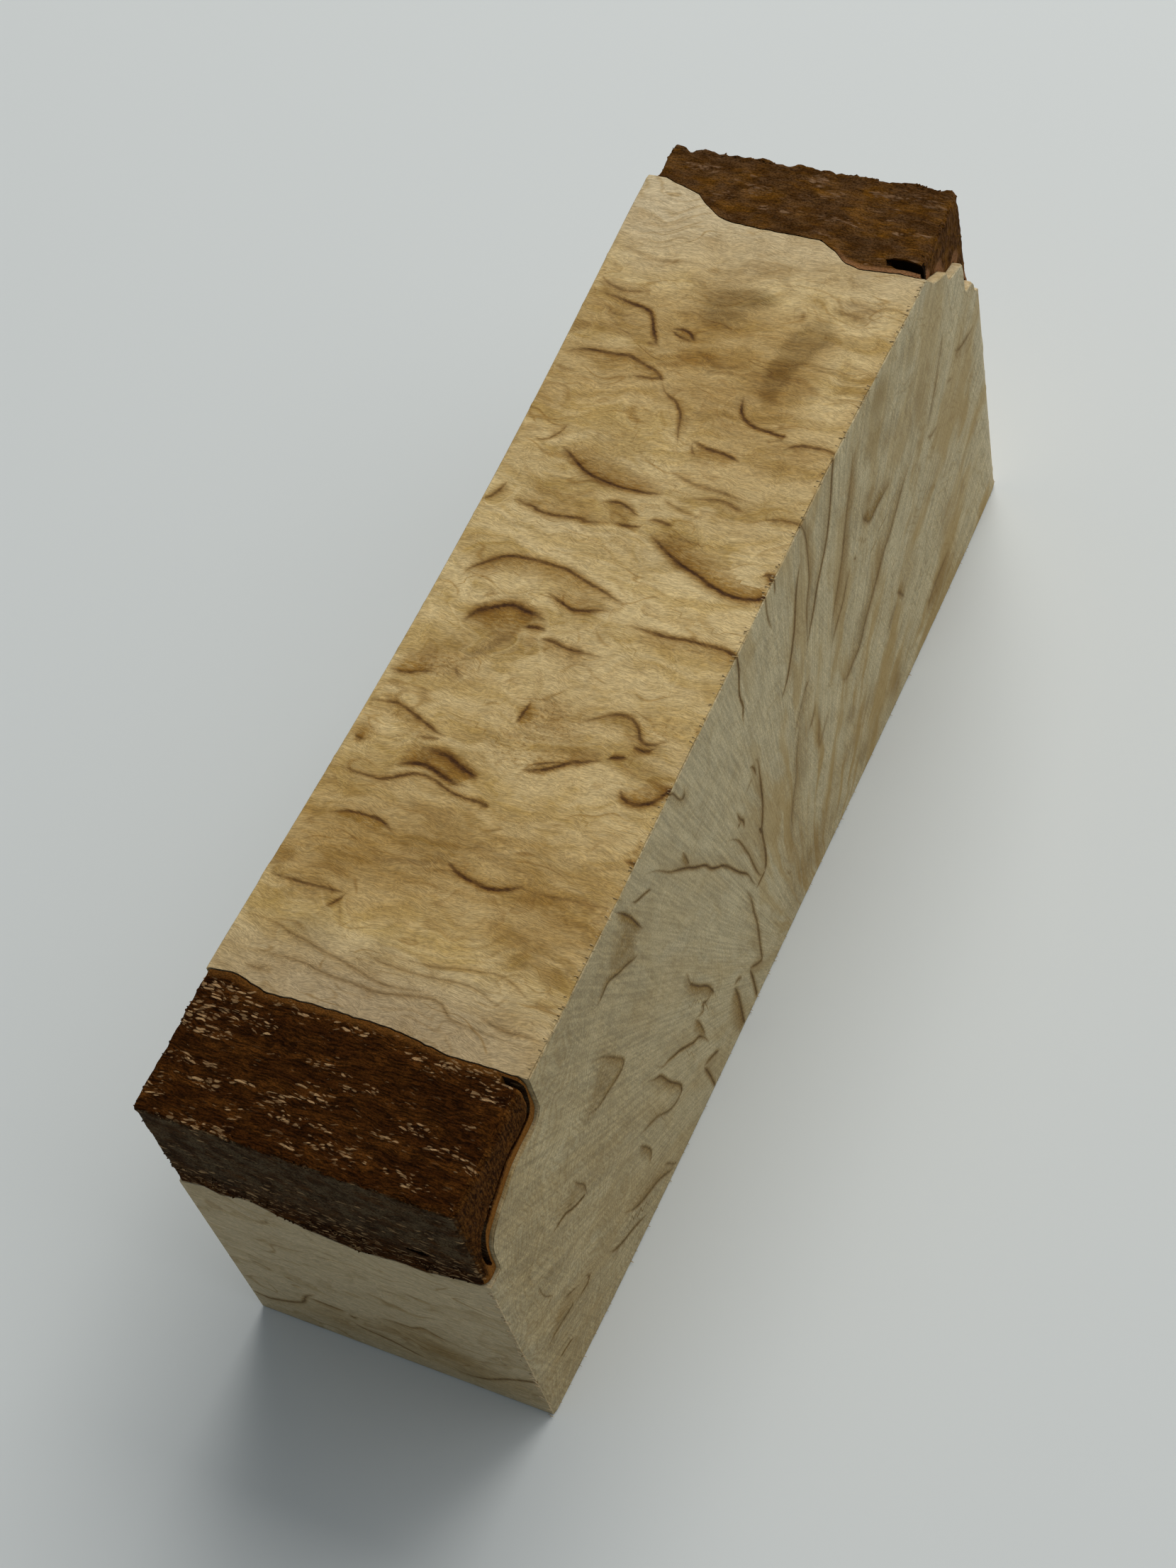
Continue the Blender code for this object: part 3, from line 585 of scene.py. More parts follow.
RIGHT_PATCHES = (
    Patch((-60, 20), (9, 60), brown=0.45),
    Patch((-38, 30), (13, 60), brown=0.3),
    Patch((-32, 40.3), (2.9, 2.8), brown=0.75, curly=0.6),
    Patch((-40.5, 30.5), (2.2, 3.2), brown=0.5, curly=0.6),
    Patch((-44, 29), (2.4, 1.4), brown=0.35, curly=0.6),
    Patch((-51.5, 22.8), (2.0, 1.3), brown=0.45),
    Patch((-59, 11.2), (2.4, 1.2), brown=0.4),
    Patch((-48, 33), (7, 5), brown=-0.2, grey=0.2),
    Patch((-26, 27), (3, 9), brown=-0.35),
    Patch((2.5, 9), (3.2, 5), brown=0.5),
    Patch((6, 4), (5, 2.6), brown=0.7),
    Patch((-1, 4), (1.6, 4), brown=0.35),
    Patch((31.5, 35.6), (2.6, 1.7), brown=0.6),
    Patch((37.5, 39.3), (2.2, 1.4), brown=0.6),
    Patch((43.5, 46), (2, 1.3), brown=0.35),
    Patch((34, 42), (3.6, 2.4), grey=0.5),
    Patch((37, 46.5), (4, 2), grey=0.5),
    Patch((27, 38), (2.5, 3), brown=0.35),
    Patch((19, 12), (1.8, 1.5), brown=0.5, grey=0.3),
    Patch((23.5, 9), (2.4, 1.5), brown=0.5, grey=0.2),
    Patch((17, 7.5), (3, 1.6), brown=0.5),
    Patch((20, 3), (2.6, 1.8), brown=0.3, grey=0.4),
    Patch((31, 3.4), (2.2, 2), brown=0.5, grey=0.2),
    Patch((37.5, 16), (3, 2.4), brown=0.45),
    Patch((49, 13), (3.4, 3), brown=0.35),
    Patch((47.5, 22), (2, 1.6), brown=0.3),
    Patch((45, 37), (3, 3), brown=0.3),
    Patch((58, 22), (4, 6), grey=0.3),
    Patch((-56, 14), (8, 3), brown=-0.2),
    Patch((-17, 4), (1.6, 3), brown=0.4),
)
NEAR_MARKS = (
    Mark(((-8.3, 10.2), (-9.3, 9.4), (-10.3, 8.3), (-11, 6.6), (-11.8, 5.8), (-13.2, 4.9),
          (-14.9, 4.1), (-16.5, 3.5), (-17.8, 3.8)), 0.62, 0.3, 0.3, True),
    Mark(((-10.1, 8.4), (-8.5, 8.3), (-6.5, 8.25), (-5, 8.25)), 0.6, 0.26, -0.6),
    Mark(((-5.1, 7.9), (-4.7, 7.3), (-4.1, 7.9)), 0.7, 0.36),
    Mark(((-5.1, 6), (-4.7, 5.3), (-3.2, 4.9), (-1.2, 4.5), (0.4, 3.8), (2.1, 3.1), (3.5, 2.8)),
         0.65, 0.28, 0.4),
    Mark(((-1.5, 9.6), (0.1, 10.5), (1.8, 10.8), (3.5, 11), (4.2, 11.7), (5.1, 12), (6.2, 11.3),
          (7.6, 10.8), (9.3, 10.7)), 0.5, 0.26, -0.6),
    Mark(((6.1, 2.7), (7.6, 2.7), (9.3, 3.1), (11, 4.1), (12.4, 5.3), (13.8, 6.3), (15.1, 7.1),
          (17.3, 8.4)), 0.62, 0.3, 0.3, True),
    Mark(((-5.7, 23.5), (-3.5, 23.8), (-1, 23.4)), 0.2, 0.35),
    Mark(((-8.8, 27.4), (-9.3, 26)), 0.25, 0.3),
)
NEAR_PATCHES = (
    Patch((4.2, 8.2), (5.5, 2.8), brown=0.5),
    Patch((10, 5), (8, 3), brown=0.5),
    Patch((-7, 6), (5, 2.4), brown=0.4),
    Patch((0, 22), (40, 30), brown=0.22),
    Patch((-16, 27), (2.2, 3.5), brown=0.2),
    Patch((0, 3), (14, 3), brown=0.2),
)


@dataclass(frozen=True)
class HiddenFigure:
    """Masur marks for the sides that the photograph doesn't show, drawn by rule.

    Attributes:
        side: the side that they are drawn on; not used by the draw.
        low: its lowest place on both axes.
        high: its highest place on both axes.
        count: how many groups of lines it gets.
        seed: seed of the random draw.
        pith: the place that the lines point at, on an end-grain side.
    """

    side: Side
    low: tuple[float, float]
    high: tuple[float, float]
    count: int
    seed: int
    pith: tuple[float, float] | None = None

    def marks(self) -> tuple[Mark, ...]:
        """Draws the lines.

        Returns:
            The marks, in the order of the draw.
        """
        draw = np.random.default_rng(self.seed)
        low, high = np.array(self.low), np.array(self.high)
        places = [mix(low, high, draw.random(2)) for _ in range(4 * self.count)]
        kept: list[np.ndarray] = []
        spacing = 0.72 * math.sqrt(np.prod(high - low) / self.count)
        for place in places:
            if len(kept) < self.count and all(np.hypot(*(place - k)) > spacing for k in kept):
                kept.append(place)
        made: list[Mark] = []
        for place in kept:
            made += self.spike(place, draw) if self.pith else self.wave(place, draw)
        return tuple(made)

    def wave(self, place: np.ndarray, draw: np.random.Generator) -> list[Mark]:
        """A curling line along the fibre.

        Args:
            place: its middle.
            draw: the random draw.

        Returns:
            One mark, or two where the line returns in a hook.
        """
        length = 3.0 + 14.0 * draw.random() ** 1.6
        rise = draw.uniform(-0.22, 0.22) * length**0.8
        turn = draw.uniform(0.5, 1.3) * draw.choice((-1, 1))
        shares = np.linspace(-0.5, 0.5, 9)
        x = place[0] + shares * length
        y = place[1] + rise * np.cos(3.1 * shares * turn)
        y = y + draw.uniform(0.2, 0.8) * np.sin(draw.uniform(5.0, 9.0) * shares + turn)
        points = [(float(a), float(b)) for a, b in zip(x, y)]
        dark, width = draw.uniform(0.3, 0.95), draw.uniform(0.24, 0.40)
        made = [Mark(points, dark, width, draw.uniform(-1, 1), True)]
        if draw.random() < 0.55:
            last = np.array(points[-1])
            back = [last, last + (0.5, -0.8 * turn), last + (-0.9, -1.5 * turn)]
            made.append(Mark([tuple(p) for p in back], 0.8 * dark, width, 0.4))
        return made

    def spike(self, place: np.ndarray, draw: np.random.Generator) -> list[Mark]:
        """A line that points at the pith, with a second that meets it there at times.

        Args:
            place: its inner end.
            draw: the random draw.

        Returns:
            One or two marks.
        """
        out = place - np.array(self.pith)
        out /= np.hypot(*out)
        across = np.array((-out[1], out[0]))
        length = 2.5 + 17.0 * draw.random() ** 1.8
        lean = draw.uniform(-0.35, 0.35)
        bow = draw.uniform(-1.2, 1.2)
        wiggle, phase = draw.uniform(0.1, 0.4), draw.uniform(0.0, 6.0)
        dark, width = draw.uniform(0.25, 0.85), draw.uniform(0.24, 0.42)
        made = []
        for side in (1,) if draw.random() < 0.45 else (1, -1):
            part = length * (1.0 if side > 0 else draw.uniform(0.35, 0.8))
            points = []
            for share in np.linspace(1.0, 0.0, 9):
                swing = side * lean * part * share + bow * math.sin(math.pi * share)
                swing += side * 0.8 * math.sqrt(share) + wiggle * math.sin(8.0 * share + phase)
                point = place + out * part * share + across * swing
                points.append((float(point[0]), float(point[1])))
            made.append(Mark(points, dark, width, side * draw.uniform(0.2, 0.8), True))
        return made


class FigureMap:
    """Works out what the marks and patches of one side do at given places.

    A line is kept as the signed distance to it, so that it stays crisp between the mesh's
    points. Lines that come near each other go in different layers.
    """

    LAYERS = 3
    REACH = 4.5
    LINE_REACH = 1.7
    APART = 2.4

    def __init__(self, marks: Sequence[Mark], patches: Sequence[Patch]) -> None:
        """Sorts the marks into layers."""
        self.patches = patches
        self.layers: list[list[tuple[Mark, np.ndarray]]] = [[] for _ in range(self.LAYERS)]
        for mark in marks:
            line = curved(mark.points, 4)
            room = [self.nearest(line, layer) for layer in self.layers]
            chosen = next((i for i, r in enumerate(room) if r > self.APART), None)
            self.layers[int(np.argmax(room)) if chosen is None else chosen].append((mark, line))

    @staticmethod
    def nearest(line: np.ndarray, layer: list[tuple[Mark, np.ndarray]]) -> float:
        """How near a line comes to the lines of a layer."""
        gaps = [np.hypot(*(line[:, None] - other[None]).transpose(2, 0, 1)).min()
                for _, other in layer]
        return min(gaps, default=99.0)

    def layer_values(self, places: np.ndarray, index: int) -> np.ndarray:
        """What one layer does.

        Args:
            places: places on the side, one row each.
            index: the layer.

        Returns:
            For each place the distance to the nearest line in half widths, above 0 on its
            shaded side, then how dark the line is, then how strong the shade is.
        """
        values = np.zeros((len(places), 3))
        values[:, 0] = 15.0
        best = np.full(len(places), self.REACH)
        for mark, line in self.layers[index]:
            low, high = line.min(axis=0) - self.REACH, line.max(axis=0) + self.REACH
            near = np.flatnonzero(((places > low) & (places < high)).all(axis=1))
            if not len(near):
                continue
            starts, ways = line[:-1], np.diff(line, axis=0)
            lengths = np.maximum((ways**2).sum(axis=1), 1e-9)
            offset = places[near][:, None] - starts[None]
            share = np.clip((offset * ways).sum(axis=2) / lengths, 0.0, 1.0)
            apart = offset - share[..., None] * ways
            distance = np.sqrt((apart**2).sum(axis=2))
            piece = distance.argmin(axis=1)
            rows = np.arange(len(near))
            distance, share = distance[rows, piece], share[rows, piece]
            turn = ways[piece][:, 0] * offset[rows, piece][:, 1]
            turn = turn - ways[piece][:, 1] * offset[rows, piece][:, 0]
            along = (piece + share) / len(starts)
            ends = np.minimum(along / 0.25, 1.0)
            if not mark.open_end:
                ends = np.minimum(ends, (1.0 - along) / 0.25)
            ends = np.clip(ends, 0.0, 1.0) ** 0.7
            side = np.where(turn >= 0, 1.0, -1.0) * (-1.0 if mark.shade < 0 else 1.0)
            past = ((along <= 0) | (along >= 1)) & (distance > 0.35)
            line_left = np.clip((self.LINE_REACH - distance) / 0.7, 0.0, 1.0)
            width = mark.width * (0.45 + 0.55 * ends)
            rows_new = np.stack(
                [
                    side * distance / width,
                    np.where(past, 0.0, mark.dark * ends * line_left),
                    np.where(past, 0.3, 1.0) * abs(mark.shade) * ends,
                ],
                axis=1,
            )
            closer = distance < best[near]
            values[near[closer]] = rows_new[closer]
            best[near[closer]] = distance[closer]
        return values

    def tone(self, places: np.ndarray) -> np.ndarray:
        """Brown, grey and curly tone of the patches at places."""
        tone = np.zeros((len(places), 3))
        for patch in self.patches:
            offset = (places - np.array(patch.place)) / np.array(patch.reach)
            share = np.exp(-0.9 * (offset**2).sum(axis=1) ** 1.3)
            tone += share[:, None] * np.array((patch.brown, patch.grey, patch.curly))
        return tone


FIGURES = {
    Side.TOP: (TOP_MARKS, TOP_PATCHES),
    Side.RIGHT: (RIGHT_MARKS, RIGHT_PATCHES),
    Side.NEAR: (NEAR_MARKS, NEAR_PATCHES),
    Side.LEFT: (
        HiddenFigure(Side.LEFT, (-56, 3), (56, 40), 44, 5, pith=(0.0, -12.0)).marks(),
        (),
    ),
    Side.BOTTOM: (HiddenFigure(Side.BOTTOM, (-13, -60), (12, 60), 30, 11).marks(), ()),
    Side.FAR: (HiddenFigure(Side.FAR, (-12, 4), (10, 28), 5, 3).marks(), ()),
}


class Tree:
    """Builds a node tree, one named step at a time."""

    def __init__(self, tree: bpy.types.NodeTree) -> None:
        """Takes the tree that the steps are added to."""
        self.tree = tree

    def add(self, kind: str, **settings) -> bpy.types.Node:
        """Adds a node of this kind with these settings."""
        node = self.tree.nodes.new(kind)
        for name, value in settings.items():
            setattr(node, name, value)
        return node

    def feed(self, socket: bpy.types.NodeSocket, value) -> None:
        """Links another node's output to a socket, or sets the socket's own value."""
        if isinstance(value, bpy.types.NodeSocket):
            self.tree.links.new(value, socket)
        elif value is not None:
            socket.default_value = value

    def math(self, operation: str, first, second=None, third=None) -> bpy.types.NodeSocket:
        """A sum, product or other function of one to three values."""
        node = self.add("ShaderNodeMath", operation=operation)
        for socket, value in zip(node.inputs, (first, second, third)):
            self.feed(socket, value)
        return node.outputs[0]

    def stretch(self, place, by: Sequence[float]) -> bpy.types.NodeSocket:
        """A place with its axes multiplied by these numbers."""
        node = self.add("ShaderNodeVectorMath", operation="MULTIPLY")
        self.feed(node.inputs[0], place)
        node.inputs[1].default_value = tuple(by)
        return node.outputs[0]

    def moved(self, place, offset) -> bpy.types.NodeSocket:
        """A place moved by another vector."""
        node = self.add("ShaderNodeVectorMath", operation="ADD")
        self.feed(node.inputs[0], place)
        self.feed(node.inputs[1], offset)
        return node.outputs[0]

    def drifted(self, place, often: float, by: Sequence[float]) -> bpy.types.NodeSocket:
        """A place moved about at random.

        Args:
            place: the place.
            often: how often the move changes, per unit.
            by: the widest moves along the three axes.

        Returns:
            The moved place.
        """
        node = self.add("ShaderNodeTexNoise")
        self.feed(node.inputs["Vector"], self.stretch(place, (often,) * 3))
        node.inputs["Scale"].default_value = 1.0
        shift = self.moved(node.outputs["Color"], (-0.5, -0.5, -0.5))
        return self.moved(place, self.stretch(shift, [2 * part for part in by]))

    def parts(self, vector) -> tuple[bpy.types.NodeSocket, ...]:
        """The three numbers of a vector."""
        node = self.add("ShaderNodeSeparateXYZ")
        self.feed(node.inputs[0], vector)
        return tuple(node.outputs)

    def joined(self, x, y, z=0.0) -> bpy.types.NodeSocket:
        """A vector of three numbers."""
        node = self.add("ShaderNodeCombineXYZ")
        for socket, value in zip(node.inputs, (x, y, z)):
            self.feed(socket, value)
        return node.outputs[0]

    def noise(self, place, detail=2.0, roughness=0.5, warp=0.0) -> bpy.types.NodeSocket:
        """Soft random tone of about 0.25 to 0.75, with about one change per unit."""
        node = self.add("ShaderNodeTexNoise")
        self.feed(node.inputs["Vector"], place)
        values = {"Scale": 1.0, "Detail": detail, "Roughness": roughness, "Distortion": warp}
        for name, value in values.items():
            node.inputs[name].default_value = value
        return node.outputs[0]

    def cells(self, place, feature="F1", output="Distance") -> bpy.types.NodeSocket:
        """Random cells of about one unit."""
        node = self.add("ShaderNodeTexVoronoi", feature=feature)
        self.feed(node.inputs["Vector"], place)
        node.inputs["Scale"].default_value = 1.0
        return node.outputs[output]

    def ramp(self, value, start, end, low=0.0, high=1.0) -> bpy.types.NodeSocket:
        """Eases from low to high while the value goes from start to end."""
        node = self.add("ShaderNodeMapRange", interpolation_type="SMOOTHSTEP")
        for socket, given in zip(node.inputs, (value, start, end, low, high)):
            self.feed(socket, given)
        return node.outputs[0]

    def blend(self, share, first, second, kind="MIX") -> bpy.types.NodeSocket:
        """A colour this share of the way from the first to the second."""
        node = self.add("ShaderNodeMix", data_type="RGBA", blend_type=kind)
        self.feed(node.inputs[0], share)
        self.feed(node.inputs[6], first)
        self.feed(node.inputs[7], second)
        return node.outputs[2]

    def attribute(self, name: str) -> bpy.types.Node:
        """The node that reads one of the mesh's attributes."""
        return self.add("ShaderNodeAttribute", attribute_name=name)


def paint(colour: Colour) -> tuple[float, float, float, float]:
    """A colour given by its screen values of 0 to 255, as the light it sends back."""
    shares = [part / 255 for part in colour]
    linear = [s / 12.92 if s <= 0.04045 else ((s + 0.055) / 1.055) ** 2.4 for s in shares]
    return (*linear, 1.0)


class Finish:
    """Starts a material: its tree, its shader and the place in millimetres."""

    def __init__(self, name: str, roughness: float, gloss: float) -> None:
        """Makes the material with its uniform values."""
        self.material = bpy.data.materials.new(name)
        self.material.use_nodes = True
        self.tree = Tree(self.material.node_tree)
        self.shader = self.material.node_tree.nodes["Principled BSDF"]
        self.shader.inputs["Roughness"].default_value = roughness
        self.shader.inputs["Specular IOR Level"].default_value = gloss
        here = self.tree.add("ShaderNodeTexCoord").outputs["Object"]
        self.place = self.tree.stretch(here, (1 / MM,) * 3)

    def close(self, colour, height, depth: float, roughness=None) -> bpy.types.Material:
        """Links the finished colour and relief to the shader.

        Args:
            colour: the colour's socket.
            height: the relief's socket, from 0 to 1.
            depth: how deep a relief of 1 is, in millimetres.
            roughness: the roughness socket, where it isn't uniform.

        Returns:
            The material.
        """
        bump = self.tree.add("ShaderNodeBump")
        bump.inputs["Strength"].default_value = 1.0
        bump.inputs["Distance"].default_value = depth * MM
        self.tree.feed(bump.inputs["Height"], height)
        self.tree.feed(self.shader.inputs["Normal"], bump.outputs[0])
        self.tree.feed(self.shader.inputs["Base Color"], colour)
        self.tree.feed(self.shader.inputs["Roughness"], roughness)
        return self.material


@dataclass(frozen=True)
class WoodFinish:
    """Sawn masur birch without varnish."""

    honey: Colour = (189, 160, 99)
    cream: Colour = (220, 198, 149)
    tan: Colour = (168, 138, 77)
    outer: Colour = (206, 189, 154)
    washed: Colour = (169, 149, 116)
    end_wash: Colour = (185, 175, 144)
    olive: Colour = (132, 108, 58)
    brown_filter: Colour = (192, 168, 114)
    halo_filter: Colour = (214, 200, 170)
    line_filter: Colour = (144, 124, 98)
    pith_height: float = -12.0
    roughness: float = 0.66
    gloss: float = 0.14

    def make(self) -> bpy.types.Material:
        """Builds the material.

        Returns:
            The material, reading the wood's own attributes.
        """
        finish = Finish("birch_wood_look", self.roughness, self.gloss)
        tree, place = finish.tree, finish.place
        end = tree.attribute("end_grain").outputs["Fac"]
        brown, grey, curly = tree.parts(tree.attribute("tone").outputs["Vector"])
        frayed = tree.noise(tree.stretch(place, (1.4, 3.6, 3.6)), 3.0, 0.65)
        blotchy = tree.noise(tree.stretch(place, (0.8, 0.8, 0.8)), 2.0, 0.6)
        line_left, halo_left, shade_left, close = 0.0, 0.0, 0.0, 0.0
        for layer in range(FigureMap.LAYERS):
            found = self.drawn_marks(tree, f"marks_{layer}", frayed, blotchy, end)
            line_left = tree.math("MAXIMUM", line_left, found[0])
            halo_left = tree.math("MAXIMUM", halo_left, found[1])
            shade_left = tree.math("MAXIMUM", shade_left, found[2])
            close = tree.math("MAXIMUM", close, found[3])
        patchy = tree.noise(tree.stretch(place, (0.15, 0.6, 0.6)), 3.0, 0.6)
        patchy = tree.ramp(patchy, 0.3, 0.7, 0.65, 1.0)
        olive = tree.ramp(grey, 0.12, 0.6, 0.0, 0.58)
        olive = tree.math("MULTIPLY", olive, patchy)
        paler = tree.math("MAXIMUM", tree.math("MULTIPLY", brown, -0.6), 0.0)
        colour, height = self.plain_wood(tree, place, end, curly, close, paler, olive)
        browner = tree.math("MAXIMUM", tree.math("MULTIPLY", brown, patchy), 0.0)
        shade_left = tree.math("MAXIMUM", shade_left, tree.math("MULTIPLY", browner, 0.9))
        line_left = tree.math("MULTIPLY", line_left, tree.math("MULTIPLY_ADD", end, -0.16, 1.0))
        colour = tree.blend(shade_left, colour, paint(self.brown_filter), "MULTIPLY")
        colour = tree.blend(halo_left, colour, paint(self.halo_filter), "MULTIPLY")
        colour = tree.blend(line_left, colour, paint(self.line_filter), "MULTIPLY")
        height = tree.math("SUBTRACT", height, tree.math("MULTIPLY", line_left, 0.35))
        return finish.close(colour, height, 0.07)

    def plain_wood(self, tree: Tree, place, end, curly, close, paler, olive):
        """Wood without its brown marks.

        Args:
            tree: the material's tree.
            place: the place in millimetres.
            end: 1 on end grain.
            curly: how much fine curly figure there is.
            close: how near a brown mark is, which the rings bend round.
            paler: how washed out the wood is.
            olive: how grey-olive the wood is.

        Returns:
            The colour's socket and the relief's.
        """
        waved = tree.drifted(place, 0.10, (0.0, 3.6, 3.6))
        combed = tree.drifted(place, 0.16, (0.0, 1.6, 1.6))
        x, y, z = tree.parts(waved)
        up = tree.math("SUBTRACT", z, self.pith_height)
        radius = tree.math("SQRT", tree.math("ADD", tree.math("MULTIPLY", y, y),
                                             tree.math("MULTIPLY", up, up)))
        turn = tree.math("ARCTAN2", y, up)
        slow = tree.noise(tree.stretch(waved, (0.06, 0.10, 0.10)), 3.0, 0.5)
        flame = tree.noise(tree.stretch(waved, (0.07, 0.34, 0.34)), 4.0, 0.55, 0.5)
        ring_place = tree.math("MULTIPLY_ADD", slow, 13.0, radius)
        ring_place = tree.math("MULTIPLY_ADD", flame, 2.0, ring_place)
        ring_place = tree.math("MULTIPLY_ADD", close, 2.0, ring_place)
        rings = tree.noise(tree.joined(tree.math("MULTIPLY", ring_place, 0.6), 0.0, 3.0), 3.0, 0.6)
        edge = tree.math("PINGPONG", ring_place, 0.75)
        ring_line = tree.ramp(edge, 0.35, 0.75)
        where = tree.noise(tree.stretch(waved, (0.11, 0.25, 0.25)), 2.0, 0.5)
        bank = tree.math("FRACT", tree.math("MULTIPLY", ring_place, 0.36))
        bank = tree.math("POWER", tree.math("MULTIPLY", bank, tree.ramp(bank, 1.0, 0.86)), 1.8)
        patches = tree.noise(tree.stretch(place, (0.09, 0.22, 0.22)), 3.0, 0.6)
        bank = tree.math("MULTIPLY", bank, tree.ramp(patches, 0.42, 0.64, 0.0, 0.6))
        veined = tree.noise(tree.stretch(waved, (0.08, 0.30, 0.30)), 1.0, 0.5, 0.3)
        vein = tree.ramp(tree.math("ABSOLUTE", tree.math("SUBTRACT", veined, 0.5)), 0.028, 0.0)
        some = tree.noise(tree.stretch(place, (0.16, 0.3, 0.3)), 2.0, 0.5)
        vein = tree.math("MULTIPLY", vein, tree.ramp(some, 0.46, 0.62, 0.0, 0.6))
        bank = tree.math("MAXIMUM", bank, vein)
        bank = tree.math("MULTIPLY", bank, tree.math("MULTIPLY_ADD", end, -0.7, 1.0))
        ring_line = tree.math("MULTIPLY", ring_line, tree.ramp(where, 0.42, 0.62, 0.15, 1.0))
        long_fibre = tree.noise(tree.stretch(combed, (0.22, 3.6, 3.6)), 3.0, 0.6)
        fine_fibre = tree.noise(tree.stretch(combed, (1.3, 9.0, 9.0)), 2.0, 0.65)
        pores = tree.noise(tree.stretch(place, (6.0, 6.0, 6.0)), 2.0, 0.7)
        _, across, above = tree.parts(place)
        height = tree.math("SUBTRACT", above, self.pith_height)
        straight = tree.math("ARCTAN2", across, height)
        rays = tree.noise(tree.joined(tree.math("MULTIPLY", straight, 130.0),
                                      tree.math("MULTIPLY", radius, 0.14), x), 2.0, 0.6)
        sawn = tree.joined(tree.math("MULTIPLY_ADD", above, 0.9, tree.math("MULTIPLY", across, 2.8)),
                           tree.math("MULTIPLY_ADD", across, -0.05, tree.math("MULTIPLY", above, 0.14)))
        sawn = tree.noise(sawn, 2.0, 0.6)
        fine_ring = tree.ramp(tree.math("PINGPONG", ring_place, 0.38), 0.12, 0.38)
        fine_ring = tree.math("MULTIPLY", fine_ring, tree.ramp(across, -34.0, -46.0, 0.0, 0.34))
        fine_ring = tree.math("MULTIPLY", fine_ring, end)
        pebbles = tree.noise(tree.stretch(place, (2.2, 3.2, 3.2)), 3.0, 0.65)

        length = tree.math("ABSOLUTE", tree.parts(place)[1])
        outer = tree.math("MAXIMUM", tree.ramp(radius, 74.0, 84.0, 0.0, 0.85),
                          tree.ramp(length, 62.0, 65.5, 0.0, 0.9))
        colour = tree.blend(tree.ramp(slow, 0.36, 0.70), paint(self.honey), paint(self.tan))
        flame_share = self.choose(tree, outer, 0.62, 0.2)
        pale = tree.math("MULTIPLY", tree.ramp(flame, 0.62, 0.38), flame_share)
        colour = tree.blend(pale, colour, paint(self.cream))
        pale = tree.ramp(rings, 0.40, 0.62)
        colour = tree.blend(tree.math("MULTIPLY", pale, 0.3), colour, paint(self.cream))
        colour = tree.blend(outer, colour, paint(self.outer))
        colour = tree.blend(tree.math("MULTIPLY", end, 0.72), colour, paint(self.end_wash))
        colour = tree.blend(olive, colour, paint(self.olive))
        colour = tree.blend(paler, colour, paint(self.washed))
        streaks = self.choose(tree, end, long_fibre, rays)
        grain = self.choose(tree, end, fine_fibre, pores)
        narrow = tree.ramp(length, 63.0, 65.0, 0.0, 0.4)
        grain = self.choose(tree, narrow, grain, 0.5)
        grain = self.choose(tree, tree.math("MULTIPLY", end, 0.35), grain, 0.5)
        colour = self.tinted(tree, colour, long_fibre, 0.34, 0.66, 0.10)
        colour = self.tinted(tree, colour, grain, 0.34, 0.66, 0.20)
        on_end = self.choose(tree, end, 0.5, rays)
        colour = self.tinted(tree, colour, on_end, 0.36, 0.64, 0.11)
        sawn_share = tree.math("MULTIPLY", end, tree.ramp(where, 0.40, 0.58, 0.25, 1.0))
        colour = self.tinted(tree, colour, self.choose(tree, sawn_share, 0.5, sawn),
                             0.38, 0.62, 0.08)
        warm = tree.noise(tree.joined(tree.math("MULTIPLY", turn, 9.0),
                                      tree.math("MULTIPLY", radius, 0.05), 5.0), 3.0, 0.6)
        warm = tree.math("MULTIPLY", tree.ramp(warm, 0.45, 0.62), tree.math("MULTIPLY", end, 0.6))
        warm = tree.math("MULTIPLY", warm, tree.ramp(above, 40.0, 12.0, 0.7, 1.2))
        warm = tree.math("MULTIPLY", warm, tree.ramp(tree.parts(place)[1], -14.0, 4.0, 0.35, 1.0))
        colour = tree.blend(warm, colour, paint(self.tan))
        pebbled = tree.math("MULTIPLY", tree.ramp(pebbles, 0.52, 0.36),
                            tree.math("MULTIPLY_ADD", curly, 0.5, 0.09))
        colour = tree.blend(pebbled, colour, paint(self.brown_filter), "MULTIPLY")
        lines = tree.math("MULTIPLY", ring_line, tree.ramp(length, 36.0, 44.0, 0.26, 0.42))
        lines = tree.math("MULTIPLY", lines, tree.ramp(length, 63.0, 65.0, 1.0, 0.5))
        lines = tree.math("MULTIPLY", lines, tree.math("MULTIPLY_ADD", end, -0.3, 1.0))
        lines = tree.math("MAXIMUM", tree.math("MAXIMUM", lines, fine_ring), bank)
        colour = tree.blend(lines, colour, paint(self.brown_filter), "MULTIPLY")
        height = tree.math("MULTIPLY_ADD", streaks, 0.4, tree.math("MULTIPLY", grain, 0.6))
        height = tree.math("MULTIPLY_ADD", tree.math("MULTIPLY", pebbles, curly), 0.5, height)
        return colour, height

    def choose(self, tree: Tree, end, along, across):
        """One value on faces along the fibre and another on end grain."""
        node = tree.add("ShaderNodeMix", data_type="FLOAT")
        for socket, value in zip((node.inputs[0], node.inputs[2], node.inputs[3]),
                                 (end, along, across)):
            tree.feed(socket, value)
        return node.outputs[0]

    def tinted(self, tree: Tree, colour, value, low: float, high: float, strength: float):
        """A colour made darker and lighter by a random tone."""
        tone = tree.ramp(value, low, high, 1.0 - strength, 1.0 + strength)
        return tree.blend(1.0, colour, tree.joined(tone, tone, tone), "MULTIPLY")

